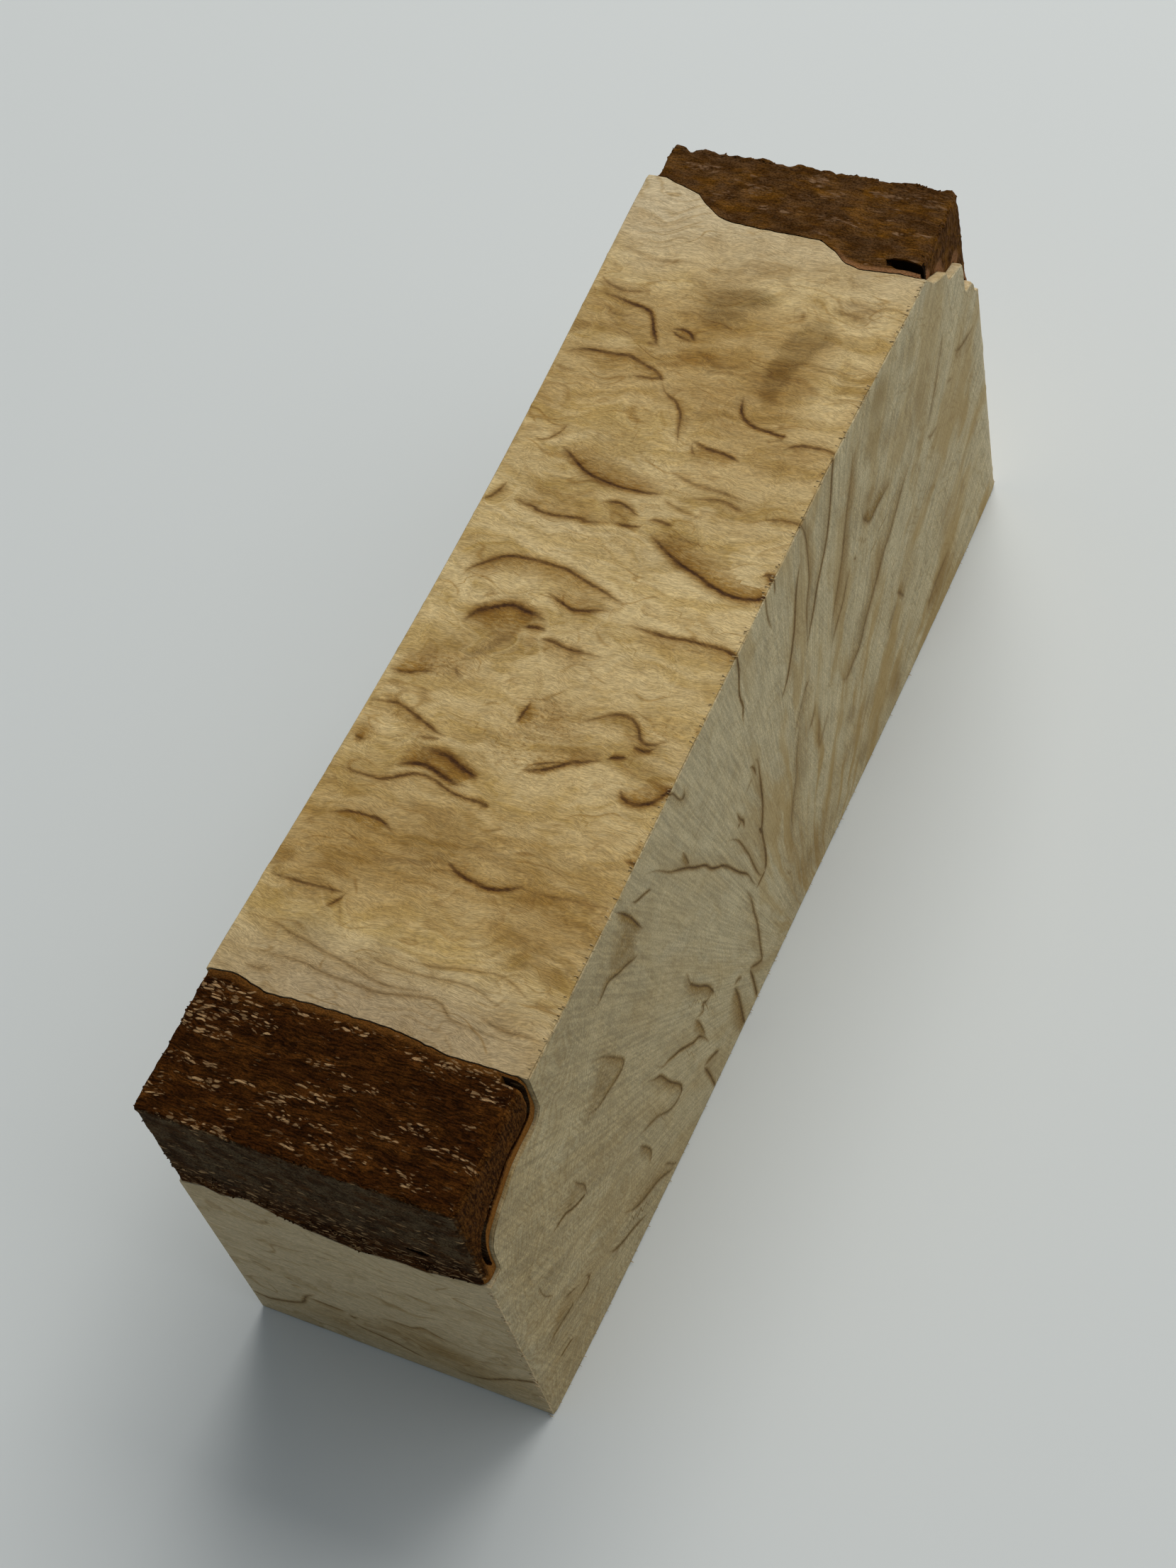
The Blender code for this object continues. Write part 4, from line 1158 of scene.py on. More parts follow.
    def drawn_marks(self, tree: Tree, name: str, frayed, blotchy, end):
        """The brown lines of one layer and the shade beside them.

        Args:
            tree: the material's tree.
            name: the layer's attribute.
            frayed: a fine random tone that makes the lines' edges uneven.
            blotchy: a broad random tone that makes the lines' darkness uneven.
            end: 1 on end grain, where the marks are narrower.

        Returns:
            The sockets of how dark the line is, how warm its rim is, how brown the shade is
            and how near they are.
        """
        distance, dark, shade = tree.parts(tree.attribute(name).outputs["Vector"])
        distance = tree.math("MULTIPLY", distance, tree.math("MULTIPLY_ADD", end, 0.6, 1.0))
        moved = tree.math("ADD", distance, tree.math("MULTIPLY_ADD", frayed, 1.3, -0.65))
        apart = tree.math("ABSOLUTE", moved)
        line = tree.math("MULTIPLY", tree.ramp(apart, 0.74, 0.10), dark)
        line = tree.math("MULTIPLY", line, tree.ramp(blotchy, 0.32, 0.58, 0.62, 1.0))
        one_side = tree.ramp(moved, -0.9, 0.4)
        fade = tree.math("POWER", tree.ramp(distance, 11.0, 0.0), 1.25)
        soft = tree.math("MULTIPLY", tree.math("MULTIPLY", one_side, fade), shade)
        soft = tree.math("MULTIPLY", soft, tree.ramp(frayed, 0.3, 0.65, 0.6, 1.0))
        near = tree.math("POWER", tree.ramp(apart, 4.2, 0.0), 2.0)
        near = tree.math("MULTIPLY", tree.math("MULTIPLY", near, dark), 0.9)
        soft = tree.math("MAXIMUM", tree.math("MULTIPLY", soft, 1.35), near)
        halo = tree.math("POWER", tree.ramp(apart, 2.2, 0.3), 1.8)
        halo = tree.math("MULTIPLY", halo, dark)
        close = tree.math("MULTIPLY", tree.ramp(tree.math("ABSOLUTE", distance), 12.0, 0.0),
                          tree.ramp(tree.math("ADD", dark, shade), 0.0, 0.4))
        return line, halo, soft, close


@dataclass(frozen=True)
class BarkFinish:
    """Dark inner bark with pale cork flecks, cut across by the saw.

    Attributes:
        name: the material's name.
        deep: its darkest brown.
        rust: its warmer brown.
        fleck: the pale flecks.
        painted_sheen: painted reflection, a greyer tone for the grey gleam of the outer sawn side and
            of a sawn top.
        bast: the warm strip beside the seam.
        fleck_softness: how blurred the flecks are.
        fibre_tones: tone of the darkest and of the lightest fibres.
    """

    name: str
    deep: Colour
    rust: Colour
    fleck: Colour
    painted_sheen: Colour
    bast: Colour
    fleck_softness: float
    fibre_tones: tuple[float, float]
    roughness: float = 0.82
    gloss: float = 0.02

    def make(self) -> bpy.types.Material:
        """Builds the material.

        Returns:
            The material, reading the bark's own attributes.
        """
        finish = Finish(self.name, self.roughness, self.gloss)
        tree, place = finish.tree, finish.place
        marks = tree.attribute("bark").outputs["Vector"]
        # The bark attribute holds the flecks, the share of painted reflection and the bast, which is -1
        # inside the hole.
        flecked, side, bast = tree.parts(marks)
        # Painted shade: inside the hole the colour is taken near black.
        hollow = tree.ramp(bast, -0.1, -0.9, 0.0, 0.92)
        bast = tree.math("MAXIMUM", bast, 0.0)
        cut_end = tree.attribute("cut_end").outputs["Fac"]
        waved = tree.drifted(place, 0.22, (0.0, 0.9, 0.9))
        cloudy = tree.noise(tree.stretch(waved, (0.22, 0.6, 0.6)), 4.0, 0.6)
        fibre = tree.noise(tree.stretch(waved, (0.6, 4.6, 4.6)), 3.0, 0.65)
        crumbs = tree.noise(tree.stretch(place, (3.6, 5.2, 5.2)), 3.0, 0.7)
        colour = tree.blend(tree.ramp(cloudy, 0.40, 0.78), paint(self.deep), paint(self.rust))
        colour = self.toned(tree, colour, tree.ramp(fibre, 0.34, 0.66, *self.fibre_tones))
        colour = self.toned(tree, colour, tree.ramp(crumbs, 0.3, 0.7, 0.6, 1.4))
        patches = tree.noise(tree.stretch(place, (0.45, 0.9, 0.6)), 3.0, 0.6)
        # Painted reflection: a greyer tone for the grey gleam of the outer sawn side and of the far
        # bark's top.
        painted_sheen_share = tree.math("MULTIPLY", side, tree.ramp(patches, 0.38, 0.62, 0.2, 0.85))
        painted_sheen_share = tree.math("MULTIPLY", painted_sheen_share, tree.ramp(crumbs, 0.36, 0.6, 0.25, 1.1))
        colour = tree.blend(painted_sheen_share, colour, paint(self.painted_sheen))
        warm = tree.ramp(crumbs, 0.35, 0.65, 0.5, 1.0)
        colour = tree.blend(tree.math("MULTIPLY", bast, warm), colour, paint(self.bast))
        rows = tree.noise(tree.stretch(waved, (0.28, 1.5, 1.5)), 2.0, 0.5)
        flecked = tree.math("MULTIPLY", flecked, tree.ramp(rows, 0.36, 0.58, 0.4, 1.5))
        shown = self.flecks(tree, place, flecked, 1.0)
        small = self.flecks(tree, place, tree.math("MULTIPLY_ADD", flecked, 0.4, 0.06), 1.7)
        shown = tree.math("MAXIMUM", shown, tree.math("MULTIPLY", small, 0.5))
        dusty = tree.ramp(crumbs, 0.3, 0.55, 0.7, 1.0)
        colour = tree.blend(tree.math("MULTIPLY", shown, dusty), colour, paint(self.fleck))
        torn = tree.noise(tree.stretch(place, (1.4, 3.6, 1.2)), 3.0, 0.65)
        torn = tree.math("MULTIPLY", cut_end, tree.ramp(torn, 0.42, 0.66, 0.0, 0.32))
        colour = tree.blend(torn, colour, paint(self.bast))
        # Painted shade of the hole's inside, near black.
        colour = tree.blend(hollow, colour, paint((9, 6, 4)))
        height = tree.math("MULTIPLY_ADD", crumbs, 0.7, tree.math("MULTIPLY", fibre, 0.6))
        height = tree.math("MULTIPLY_ADD", shown, 0.25, height)
        return finish.close(colour, height, 0.2)

    def toned(self, tree: Tree, colour, tone) -> bpy.types.NodeSocket:
        """A colour multiplied by a tone."""
        return tree.blend(1.0, colour, tree.joined(tone, tone, tone), "MULTIPLY")

    def flecks(self, tree: Tree, place, wanted, often: float) -> bpy.types.NodeSocket:
        """Pale lens-shaped flecks, long along the fibre, with dark borders between them.

        Args:
            tree: the material's tree.
            place: the place in millimetres.
            wanted: the share of the flecks that show at that place.
            often: how much closer and smaller they are than the usual ones.

        Returns:
            The socket of how pale the place is.
        """
        bent = tree.drifted(place, 0.3, (0.0, 0.9, 0.9))
        bent = tree.drifted(bent, 1.0, (0.16, 0.10, 0.10))
        cells = tree.add("ShaderNodeTexVoronoi", feature="F1")
        size = (0.62 * often, 3.1 * often, 3.1 * often)
        tree.feed(cells.inputs["Vector"], tree.stretch(bent, size))
        cells.inputs["Scale"].default_value = 1.0
        chance, plump, bright = tree.parts(cells.outputs["Color"])
        shown = tree.ramp(tree.math("SUBTRACT", wanted, chance), 0.0, 0.10)
        shown = tree.math("MULTIPLY", shown, tree.math("MULTIPLY_ADD", bright, 0.65, 0.35))
        reach = tree.math("MULTIPLY_ADD", plump, 0.22, 0.22)
        lens = tree.math("SUBTRACT", reach, cells.outputs["Distance"])
        soft = self.fleck_softness
        return tree.math("MULTIPLY", shown, tree.ramp(lens, -soft, 0.5 * soft))


class NodeShape:
    """A Geometry Nodes tree with named inputs, which gives one plain mesh object."""

    KINDS = {int: "NodeSocketInt", float: "NodeSocketFloat"}

    def __init__(self, name: str) -> None:
        """Starts an empty tree with a geometry input and output."""
        self.group = bpy.data.node_groups.new(name, "GeometryNodeTree")
        self.tree = Tree(self.group)
        self.values: dict[str, object] = {}
        face = self.group.interface
        face.new_socket(name="Geometry", in_out="INPUT", socket_type="NodeSocketGeometry")
        face.new_socket(name="Geometry", in_out="OUTPUT", socket_type="NodeSocketGeometry")
        self.start = self.tree.add("NodeGroupInput")
        self.end = self.tree.add("NodeGroupOutput")

    def given(self, name: str, value) -> bpy.types.NodeSocket:
        """Adds a named input with its value, and gives its socket."""
        kind = self.KINDS.get(type(value), "NodeSocketMaterial")
        self.group.interface.new_socket(name=name, in_out="INPUT", socket_type=kind)
        self.values[name] = value
        return self.start.outputs[name]

    def geometry(self, geometry, material: bpy.types.Material) -> None:
        """Closes the tree: makes all copies real and gives them their material."""
        real = self.tree.add("GeometryNodeRealizeInstances")
        self.tree.feed(real.inputs[0], geometry)
        dressed = self.tree.add("GeometryNodeSetMaterial")
        self.tree.feed(dressed.inputs["Geometry"], real.outputs[0])
        self.tree.feed(dressed.inputs["Material"], self.given("Finish", material))
        self.tree.feed(self.end.inputs[0], dressed.outputs[0])

    def build(self, name: str, start: bpy.types.Mesh | None = None) -> bpy.types.Object:
        """Runs the tree.

        Args:
            name: the name of the finished piece.
            start: the mesh that the tree starts from, if it needs one.

        Returns:
            An object that holds the tree's plain mesh.
        """
        obj = bpy.data.objects.new(name, start or bpy.data.meshes.new(name + "_start"))
        bpy.context.scene.collection.objects.link(obj)
        modifier = obj.modifiers.new("shape", "NODES")
        modifier.node_group = self.group
        for item in self.group.interface.items_tree:
            if item.in_out == "INPUT" and item.name in self.values:
                modifier[item.identifier] = self.values[item.name]
        shown = obj.evaluated_get(bpy.context.evaluated_depsgraph_get())
        made = bpy.data.meshes.new_from_object(shown)
        obj.modifiers.clear()
        obj.data = made
        made.name = name
        only_finish(made, self.values["Finish"])
        return obj


def only_finish(mesh: bpy.types.Mesh, finish: bpy.types.Material) -> None:
    """Gives every face of a mesh the same finish."""
    mesh.materials.clear()
    mesh.materials.append(finish)
    mesh.polygons.foreach_set("material_index", np.zeros(len(mesh.polygons), dtype=np.int32))


def grid_box(name: str, counts: tuple[int, int, int], material) -> bpy.types.Object:
    """A box whose six sides are even grids, with its corner points at whole numbers.

    Args:
        name: the piece's name.
        counts: how many squares it has along X, Y and Z.
        material: its finish.

    Returns:
        The object.
    """
    shape = NodeShape(name + "_grid")
    tree = shape.tree
    cube = tree.add("GeometryNodeMeshCube")
    sizes = [shape.given(axis, count) for axis, count in zip(("Across", "Along", "Up"), counts)]
    tree.feed(cube.inputs["Size"], tree.joined(*sizes))
    for axis, size in zip("XYZ", sizes):
        tree.feed(cube.inputs["Vertices " + axis], tree.math("ADD", size, 1.0))
    shape.geometry(cube.outputs["Mesh"], material)
    return shape.build(name)


def mesh_points(mesh: bpy.types.Mesh) -> np.ndarray:
    """All places of a mesh, one row each."""
    flat = np.empty(3 * len(mesh.vertices))
    mesh.vertices.foreach_get("co", flat)
    return flat.reshape(-1, 3)


def set_points(mesh: bpy.types.Mesh, points: np.ndarray) -> None:
    """Moves all places of a mesh."""
    mesh.vertices.foreach_set("co", points.ravel())
    mesh.update()


def corner_faces(mesh: bpy.types.Mesh) -> tuple[np.ndarray, np.ndarray]:
    """For each face corner, the number of its point and of its face."""
    vertex = np.empty(len(mesh.loops), int)
    mesh.loops.foreach_get("vertex_index", vertex)
    total = np.empty(len(mesh.polygons), int)
    mesh.polygons.foreach_get("loop_total", total)
    return vertex, np.repeat(np.arange(len(total)), total)


def add_values(mesh: bpy.types.Mesh, name: str, values: np.ndarray) -> None:
    """Stores a number or a vector at each face corner."""
    kind, key = ("FLOAT", "value") if values.ndim == 1 else ("FLOAT_VECTOR", "vector")
    mesh.attributes.new(name, kind, "CORNER").data.foreach_set(key, values.ravel())


def shade(mesh: bpy.types.Mesh, angle: float) -> None:
    """Shades a mesh smooth, but for edges that turn by more than this many degrees."""
    mesh.shade_smooth()
    mesh.set_sharp_from_angle(angle=math.radians(angle))


@dataclass(frozen=True)
class FiguredWood:
    """The sawn masur birch between the two pieces of bark.

    Attributes:
        across: squares across the block.
        near_steps: squares along the cambium at the near end.
        top_steps: squares along the sawn top.
        far_steps: squares along the cambium at the far end.
        upright: squares from the bottom to the top.
        first_step: width in millimetres of the squares beside an edge.
        edge_wear: how far the sawn edges are worn off.
    """

    across: int = 64
    near_steps: int = 36
    top_steps: int = 186
    far_steps: int = 24
    upright: int = 70
    first_step: float = 0.16
    edge_wear: float = 0.12

    def upper_line(self, x: float) -> np.ndarray:
        """The section's upper line at x, from the near side up, over the top and down."""
        near = NEAR_SEAM.cambium(x)[::-1]
        far = FAR_SEAM.cambium(x)
        top_y = np.array([near[-1, 0], far[0, 0]])
        top = np.stack([top_y, BLOCK.top_height(top_y)], axis=1)
        top_shares = graded(self.top_steps, self.first_step / np.ptp(top_y))
        pieces = (
            spread(near, np.linspace(0.0, 1.0, self.near_steps + 1))[:-1],
            spread(top, top_shares)[:-1],
            spread(far, np.linspace(0.0, 1.0, self.far_steps + 1)),
        )
        return np.vstack(pieces)

    def build(self, finish: bpy.types.Material) -> bpy.types.Object:
        """Builds the wood and its figure.

        Args:
            finish: the wood's material.

        Returns:
            The finished piece.
        """
        along = self.near_steps + self.top_steps + self.far_steps
        counts = (self.across, along, self.upright)
        obj = grid_box("figured_wood", counts, finish)
        index = np.rint(mesh_points(obj.data) + np.array(counts) / 2).astype(int)
        places = graded(self.across, self.first_step / (2 * BLOCK.half_width))
        x_at = mix(-BLOCK.half_width, BLOCK.half_width, places)
        upper = np.array([self.upper_line(x) for x in x_at])
        share = np.hypot(*np.diff(upper, axis=1).transpose(2, 0, 1)).cumsum(axis=1)
        share = np.pad(share / share[:, -1:], ((0, 0), (1, 0)))
        lower_y = mix(-BLOCK.half_length, BLOCK.half_length, share)
        rise = graded(self.upright, self.first_step / BLOCK.near_height)
        i, j, k = index.T
        high = upper[i, j]
        points = np.stack(
            [x_at[i], mix(lower_y[i, j], high[:, 0], rise[k]), high[:, 1] * rise[k]], axis=1
        )
        points = BLOCK.bend(points) + self.worn(points, index, np.array(counts))
        set_points(obj.data, points * MM)
        self.draw_figure(obj.data, points, index, counts)
        shade(obj.data, 40)
        return obj

    def worn(self, points: np.ndarray, index: np.ndarray, counts: np.ndarray) -> np.ndarray:
        """How far each point moves in where a sawn edge is worn.

        Args:
            points: the places in millimetres.
            index: the places' grid numbers.
            counts: the grid's squares along its three axes.

        Returns:
            The moves, one row each.
        """
        moves = np.zeros_like(points)
        inward = (index == 0).astype(float) - (index == counts)
        on_edge = (inward != 0).sum(axis=1) > 1
        on_seam = (index[:, 2] == counts[2]) & (inward[:, 0] == 0)
        rows = np.flatnonzero(on_edge & ~on_seam)
        wear = self.edge_wear * (1.0 + 1.2 * rough(points[rows], (0.9, 0.9, 0.9)))
        wear += 0.3 * np.maximum(rough(points[rows], (0.35, 0.35, 0.35), 9.0) - 0.35, 0.0)
        moves[rows] = inward[rows] * np.clip(wear, 0.02, None)[:, None]
        return moves

    def draw_figure(self, mesh, points: np.ndarray, index: np.ndarray, counts) -> None:
        """Stores the marks of every side at the mesh's face corners.

        Args:
            mesh: the wood's mesh.
            points: its places in millimetres.
            index: the places' grid numbers.
            counts: the grid's squares along its three axes.
        """
        vertex, face = corner_faces(mesh)
        low = np.full((len(mesh.polygons), 3), 10**6)
        high = np.full((len(mesh.polygons), 3), -1)
        np.minimum.at(low, face, index[vertex])
        np.maximum.at(high, face, index[vertex])
        tests = {
            Side.NEAR: high[:, 1] == 0,
            Side.FAR: low[:, 1] == counts[1],
            Side.BOTTOM: high[:, 2] == 0,
            Side.TOP: low[:, 2] == counts[2],
            Side.LEFT: high[:, 0] == 0,
            Side.RIGHT: low[:, 0] == counts[0],
        }
        count = len(vertex)
        layers = [np.tile((15.0, 0.0, 0.0), (count, 1)) for _ in range(FigureMap.LAYERS)]
        tone = np.zeros((count, 3))
        for side, faces in tests.items():
            figure = FigureMap(*FIGURES[side])
            corners = np.flatnonzero(faces[face])
            used, back = np.unique(vertex[corners], return_inverse=True)
            places = points[used][:, side.axes]
            for layer, values in enumerate(layers):
                values[corners] = figure.layer_values(places, layer)[back]
            tone[corners] = figure.tone(places)[back]
        for layer, values in enumerate(layers):
            add_values(mesh, f"marks_{layer}", values)
        add_values(mesh, "tone", tone)
        end_faces = tests[Side.LEFT] | tests[Side.RIGHT]
        add_values(mesh, "end_grain", end_faces[face].astype(float))


@dataclass(frozen=True)
class Fleck:
    """A place where pale flecks lie, on the sawn top of a bark.

    Attributes:
        place: its middle, across and along the block.
        reach: half of its size both ways.
        density: how densely they lie, from 0 to about 1.5.
    """

    place: tuple[float, float]
    reach: tuple[float, float]
    density: float = 1.0


NEAR_FLECKS = (
    Fleck((-15.5, -51.8), (3.4, 0.9), 1.2), Fleck((-15.5, -53.9), (3.4, 1.0), 1.25),
    Fleck((-8, -50.9), (4, 0.5), 0.8), Fleck((0, -51.1), (5, 0.4), 0.6),
    Fleck((6.2, -51.7), (1.2, 0.8), 1.1), Fleck((8.2, -53.1), (1.2, 0.7), 1.1),
    Fleck((12.5, -51.9), (4.2, 0.8), 1.15), Fleck((14.5, -53.4), (2.6, 0.7), 0.9),
    Fleck((-15.2, -55.9), (3.0, 0.7), 1.3), Fleck((-10.6, -53.5), (2.2, 0.8), 1.2),
    Fleck((-9.2, -54), (0.9, 0.5), 1.6), Fleck((-1.5, -55.7), (3, 0.5), 0.75),
    Fleck((-2, -57.7), (1.4, 0.5), 1.1), Fleck((1.2, -57), (1.8, 0.5), 1.1),
    Fleck((3.6, -56.4), (1.2, 0.4), 0.9), Fleck((0, -58.8), (1.1, 0.6), 1.2),
    Fleck((9.8, -58.6), (1.8, 0.5), 1.6), Fleck((13.6, -59.9), (2.2, 0.5), 1.3),
    Fleck((16, -60.7), (1.1, 0.4), 1.2), Fleck((13.6, -56.7), (1.1, 0.4), 1.2),
    Fleck((-14.5, -59.3), (3.4, 0.5), 1.1), Fleck((-12.5, -61), (2.8, 0.5), 1.1),
    Fleck((-9, -59.9), (1.2, 0.4), 1.0), Fleck((-5.2, -60.5), (1.5, 0.7), 1.5),
    Fleck((-3, -59.4), (1.6, 0.4), 1.1), Fleck((-1.5, -61.7), (3.4, 0.5), 1.1),
    Fleck((-17, -62.9), (1.3, 1.2), 1.1), Fleck((-8.1, -62.9), (1.1, 1.0), 1.2),
    Fleck((1.4, -63), (1.7, 0.7), 1.4), Fleck((-1.8, -64.2), (1.1, 0.4), 1.1),
    Fleck((4.8, -63.2), (1.5, 0.7), 1.2), Fleck((10.8, -63.8), (2.6, 0.7), 1.1),
    Fleck((-11.6, -65.2), (4.4, 0.5), 0.9), Fleck((6, -60.5), (2.4, 0.5), 0.7),
)
NEAR_BARE = (
    Fleck((-13, -57.7), (5, 1.1)), Fleck((4.5, -53.9), (9, 1.3)), Fleck((-4, -57), (1.2, 0.5)),
)
FAR_FLECKS = (
    Fleck((1.2, 62.5), (1.6, 0.7), 1.0), Fleck((3.5, 60.5), (1.4, 0.6), 1.0),
    Fleck((-5, 59.5), (1.6, 0.7), 0.9), Fleck((-9, 58.4), (1.5, 0.6), 0.8),
    Fleck((9.6, 61.7), (2.2, 0.6), 1.0), Fleck((12.7, 62.3), (1.2, 0.6), 1.0),
    Fleck((15.5, 61.5), (1.4, 0.6), 0.9), Fleck((-1, 57), (2.4, 0.6), 0.6),
    Fleck((6, 57), (2.6, 0.7), 0.6), Fleck((-13, 61.3), (2, 0.7), 0.7),
    Fleck((14, 57), (2.4, 0.6), 0.6),
)


@dataclass(frozen=True)
class Bark:
    """One piece of bark, between the cambium, the sawn top and the outer sawn side.

    Attributes:
        name: the piece's name.
        seam: its seam with the wood.
        gap: how far it stands off the wood.
        end_insets: how far it is shorter than the block at the left and right end.
        side_insets: how far its outer side stands in, at the seam and at the top.
        end_rounding: how far its left and right ends are rounded over.
        wear: how crumbly its outer edge is.
        chips: chips on that edge as place, width and depth.
        relief: how rough its surface is.
        counts: squares across the block, round the outline and through the bark.
        flecks: where the pale flecks lie.
        bare: where there are none.
        top_painted_sheen: how much painted reflection, a greyer tone, its sawn top has.
    """

    name: str
    seam: Seam
    gap: float
    end_insets: tuple[float, float]
    side_insets: tuple[float, float]
    end_rounding: tuple[float, float]
    wear: float
    chips: tuple[tuple[float, float, float], ...]
    relief: float
    counts: tuple[int, int, int]
    flecks: tuple[Fleck, ...]
    bare: tuple[Fleck, ...] = ()
    top_painted_sheen: float = 0.0

    def side_place(self, z: float) -> float:
        """Where the outer sawn side stands at height z."""
        low = np.mean([height for _, height in self.seam.low])
        share = np.clip((z - low) / (BLOCK.far_height - low), 0.0, 1.0)
        return self.seam.side * (BLOCK.half_length - mix(*self.side_insets, share))

    def outer_line(self, x: float, inset: float) -> np.ndarray:
        """The outer outline at x, from the seam on the side up and over the top.

        Args:
            x: place across the block.
            inset: how far the outline is moved in, where the end is rounded.

        Returns:
            Rows of place along the block and height.
        """
        side = self.seam.side
        worn = self.wear * (0.55 + noise.noise(Vector((0.9 * x, 7.3 * side, 2.1))))
        worn += 0.5 * self.wear * noise.noise(Vector((2.7 * x, 3.1 * side, 5.2)))
        for place, width, depth in self.chips:
            worn += depth * math.exp(-((2 * (x - place) / width) ** 2))
        worn = max(worn, 0.12)
        corner_z = BLOCK.top_height(side * BLOCK.half_length)
        low_z = np.interp(x, *np.array(self.seam.low).T) + self.gap - 1.5
        heights = np.linspace(low_z, corner_z - worn, 24)
        front = [(self.side_place(z) - side * inset, z) for z in heights]
        corner_y = self.side_place(corner_z)
        corner = []
        for turn in np.linspace(0.0, math.pi / 2, 6)[1:-1]:
            in_y = worn * (1 - math.cos(turn))
            in_z = worn * (1 - math.sin(turn))
            corner.append((corner_y - side * (inset + in_y), corner_z - in_z - inset))
        top_y = np.interp(x, *np.array(self.seam.top).T) - side * 1.5
        ways = np.linspace(corner_y - side * (worn + inset), top_y, 24)
        top = [(y, BLOCK.top_height(y) - inset) for y in ways]
        return np.array(front + corner + top)

    def outline(self, x: float, inset: float) -> tuple[np.ndarray, np.ndarray]:
        """The two sides of the bark's section at x, which meet at both seams.

        Args:
            x: place across the block.
            inset: how far the outer one is moved in.

        Returns:
            The line along the cambium and the outer line, both from the low seam up.
        """
        inner = self.seam.cambium(x, self.gap)[::-1]
        outer = self.outer_line(x, inset)
        side = self.seam.side
        top_left = BLOCK.top_height(inner[:, 0]) - inset - inner[:, 1]
        side_left = np.array([side * (self.side_place(z) - y) for y, z in inner]) - inset
        left = np.minimum(top_left, side_left)
        inside = np.flatnonzero(left > 0.02)
        first, last = inside[0], inside[-1]
        ends = []
        for within, beyond in ((first, max(first - 1, 0)), (last, min(last + 1, len(left) - 1))):
            share = left[within] / max(left[within] - left[beyond], left[within])
            ends.append(mix(inner[within], inner[beyond], share))
        low, top = ends
        inner = np.vstack([low, inner[first : last + 1], top])
        keep = (outer[:, 1] > low[1]) & (side * (outer[:, 0] - top[0]) > 0)
        outer = np.vstack([low, outer[keep], top])
        return inner, outer

    def stations(self) -> tuple[np.ndarray, np.ndarray]:
        """Places across the block, and how far the rounding of the ends is in at each."""
        low = -BLOCK.half_width + self.end_insets[0]
        high = BLOCK.half_width - self.end_insets[1]
        turns = np.linspace(0.0, math.pi / 2, 6)
        left = low + self.end_rounding[0] * (1 - np.cos(turns))
        right = high - self.end_rounding[1] * (1 - np.cos(turns[::-1]))
        between = np.linspace(left[-1], right[0], self.counts[0] - 9)[1:-1]
        places = np.concatenate([left, between, right])
        inset = np.zeros(len(places))
        inset[:6] = self.end_rounding[0] * (1 - np.sin(turns))
        inset[-6:] = self.end_rounding[1] * (1 - np.sin(turns[::-1]))
        return places, inset

    def build(self, finish: bpy.types.Material) -> bpy.types.Object:
        """Builds the bark without its cuts.

        Args:
            finish: its material.

        Returns:
            The piece, with its places in metres.
        """
        obj = grid_box(self.name, self.counts, finish)
        index = np.rint(mesh_points(obj.data) + np.array(self.counts) / 2).astype(int)
        x_at, inset = self.stations()
        shares = np.linspace(0.0, 1.0, self.counts[1] + 1)
        lines = [self.outline(x, way) for x, way in zip(x_at, inset)]
        inner = np.array([spread(line, shares) for line, _ in lines])
        outer = np.array([spread(line, shares) for _, line in lines])
        i, j, k = index.T
        share = k / self.counts[2]
        section = mix(inner[i, j], outer[i, j], share[:, None])
        points = np.column_stack([x_at[i], section])
        points = self.roughened(BLOCK.bend(points), index)
        set_points(obj.data, points * MM)
        self.close_seams(obj.data)
        return obj

    def roughened(self, points: np.ndarray, index: np.ndarray) -> np.ndarray:
        """The places with the bark's rough relief, moved inwards only.

        Args:
            points: the places in millimetres.
            index: the places' grid numbers.

        Returns:
            The moved places.
        """
        across, around, through = self.counts
        fine = rough(points, (0.9, 2.2, 2.2), 3.0)
        broad = rough(points, (0.25, 0.6, 0.6), 11.0)
        height = self.relief * np.clip(0.45 + 0.45 * broad + 0.4 * fine, 0.0, 1.3)
        outer = index[:, 2] / through
        outer *= smooth_step(np.minimum(index[:, 1], around - index[:, 1]) / 4.0)
        top = BLOCK.top_height(points[:, 1])
        up = smooth_step((points[:, 2] - (top - 1.2)) / 1.0)
        moved = points.copy()
        moved[:, 2] -= up * height * outer
        moved[:, 1] -= (1 - up) * height * outer * self.seam.side
        low, high = points[:, 0].min(), points[:, 0].max()
        to_end = np.minimum(points[:, 0] - low, high - points[:, 0])
        end_share = np.clip(1.0 - to_end / 2.0, 0.0, 1.0)
        moved[:, 0] -= np.sign(points[:, 0]) * self.relief * (0.5 + 0.4 * broad) * end_share
        return moved

    def close_seams(self, mesh: bpy.types.Mesh) -> None:
        """Joins the rows of places that fall together at the two seams."""
        work = bmesh.new()
        work.from_mesh(mesh)
        bmesh.ops.remove_doubles(work, verts=work.verts, dist=0.004 * MM)
        bmesh.ops.dissolve_degenerate(work, edges=work.edges, dist=0.001 * MM)
        bmesh.ops.recalc_face_normals(work, faces=work.faces)
        work.to_mesh(mesh)
        work.free()

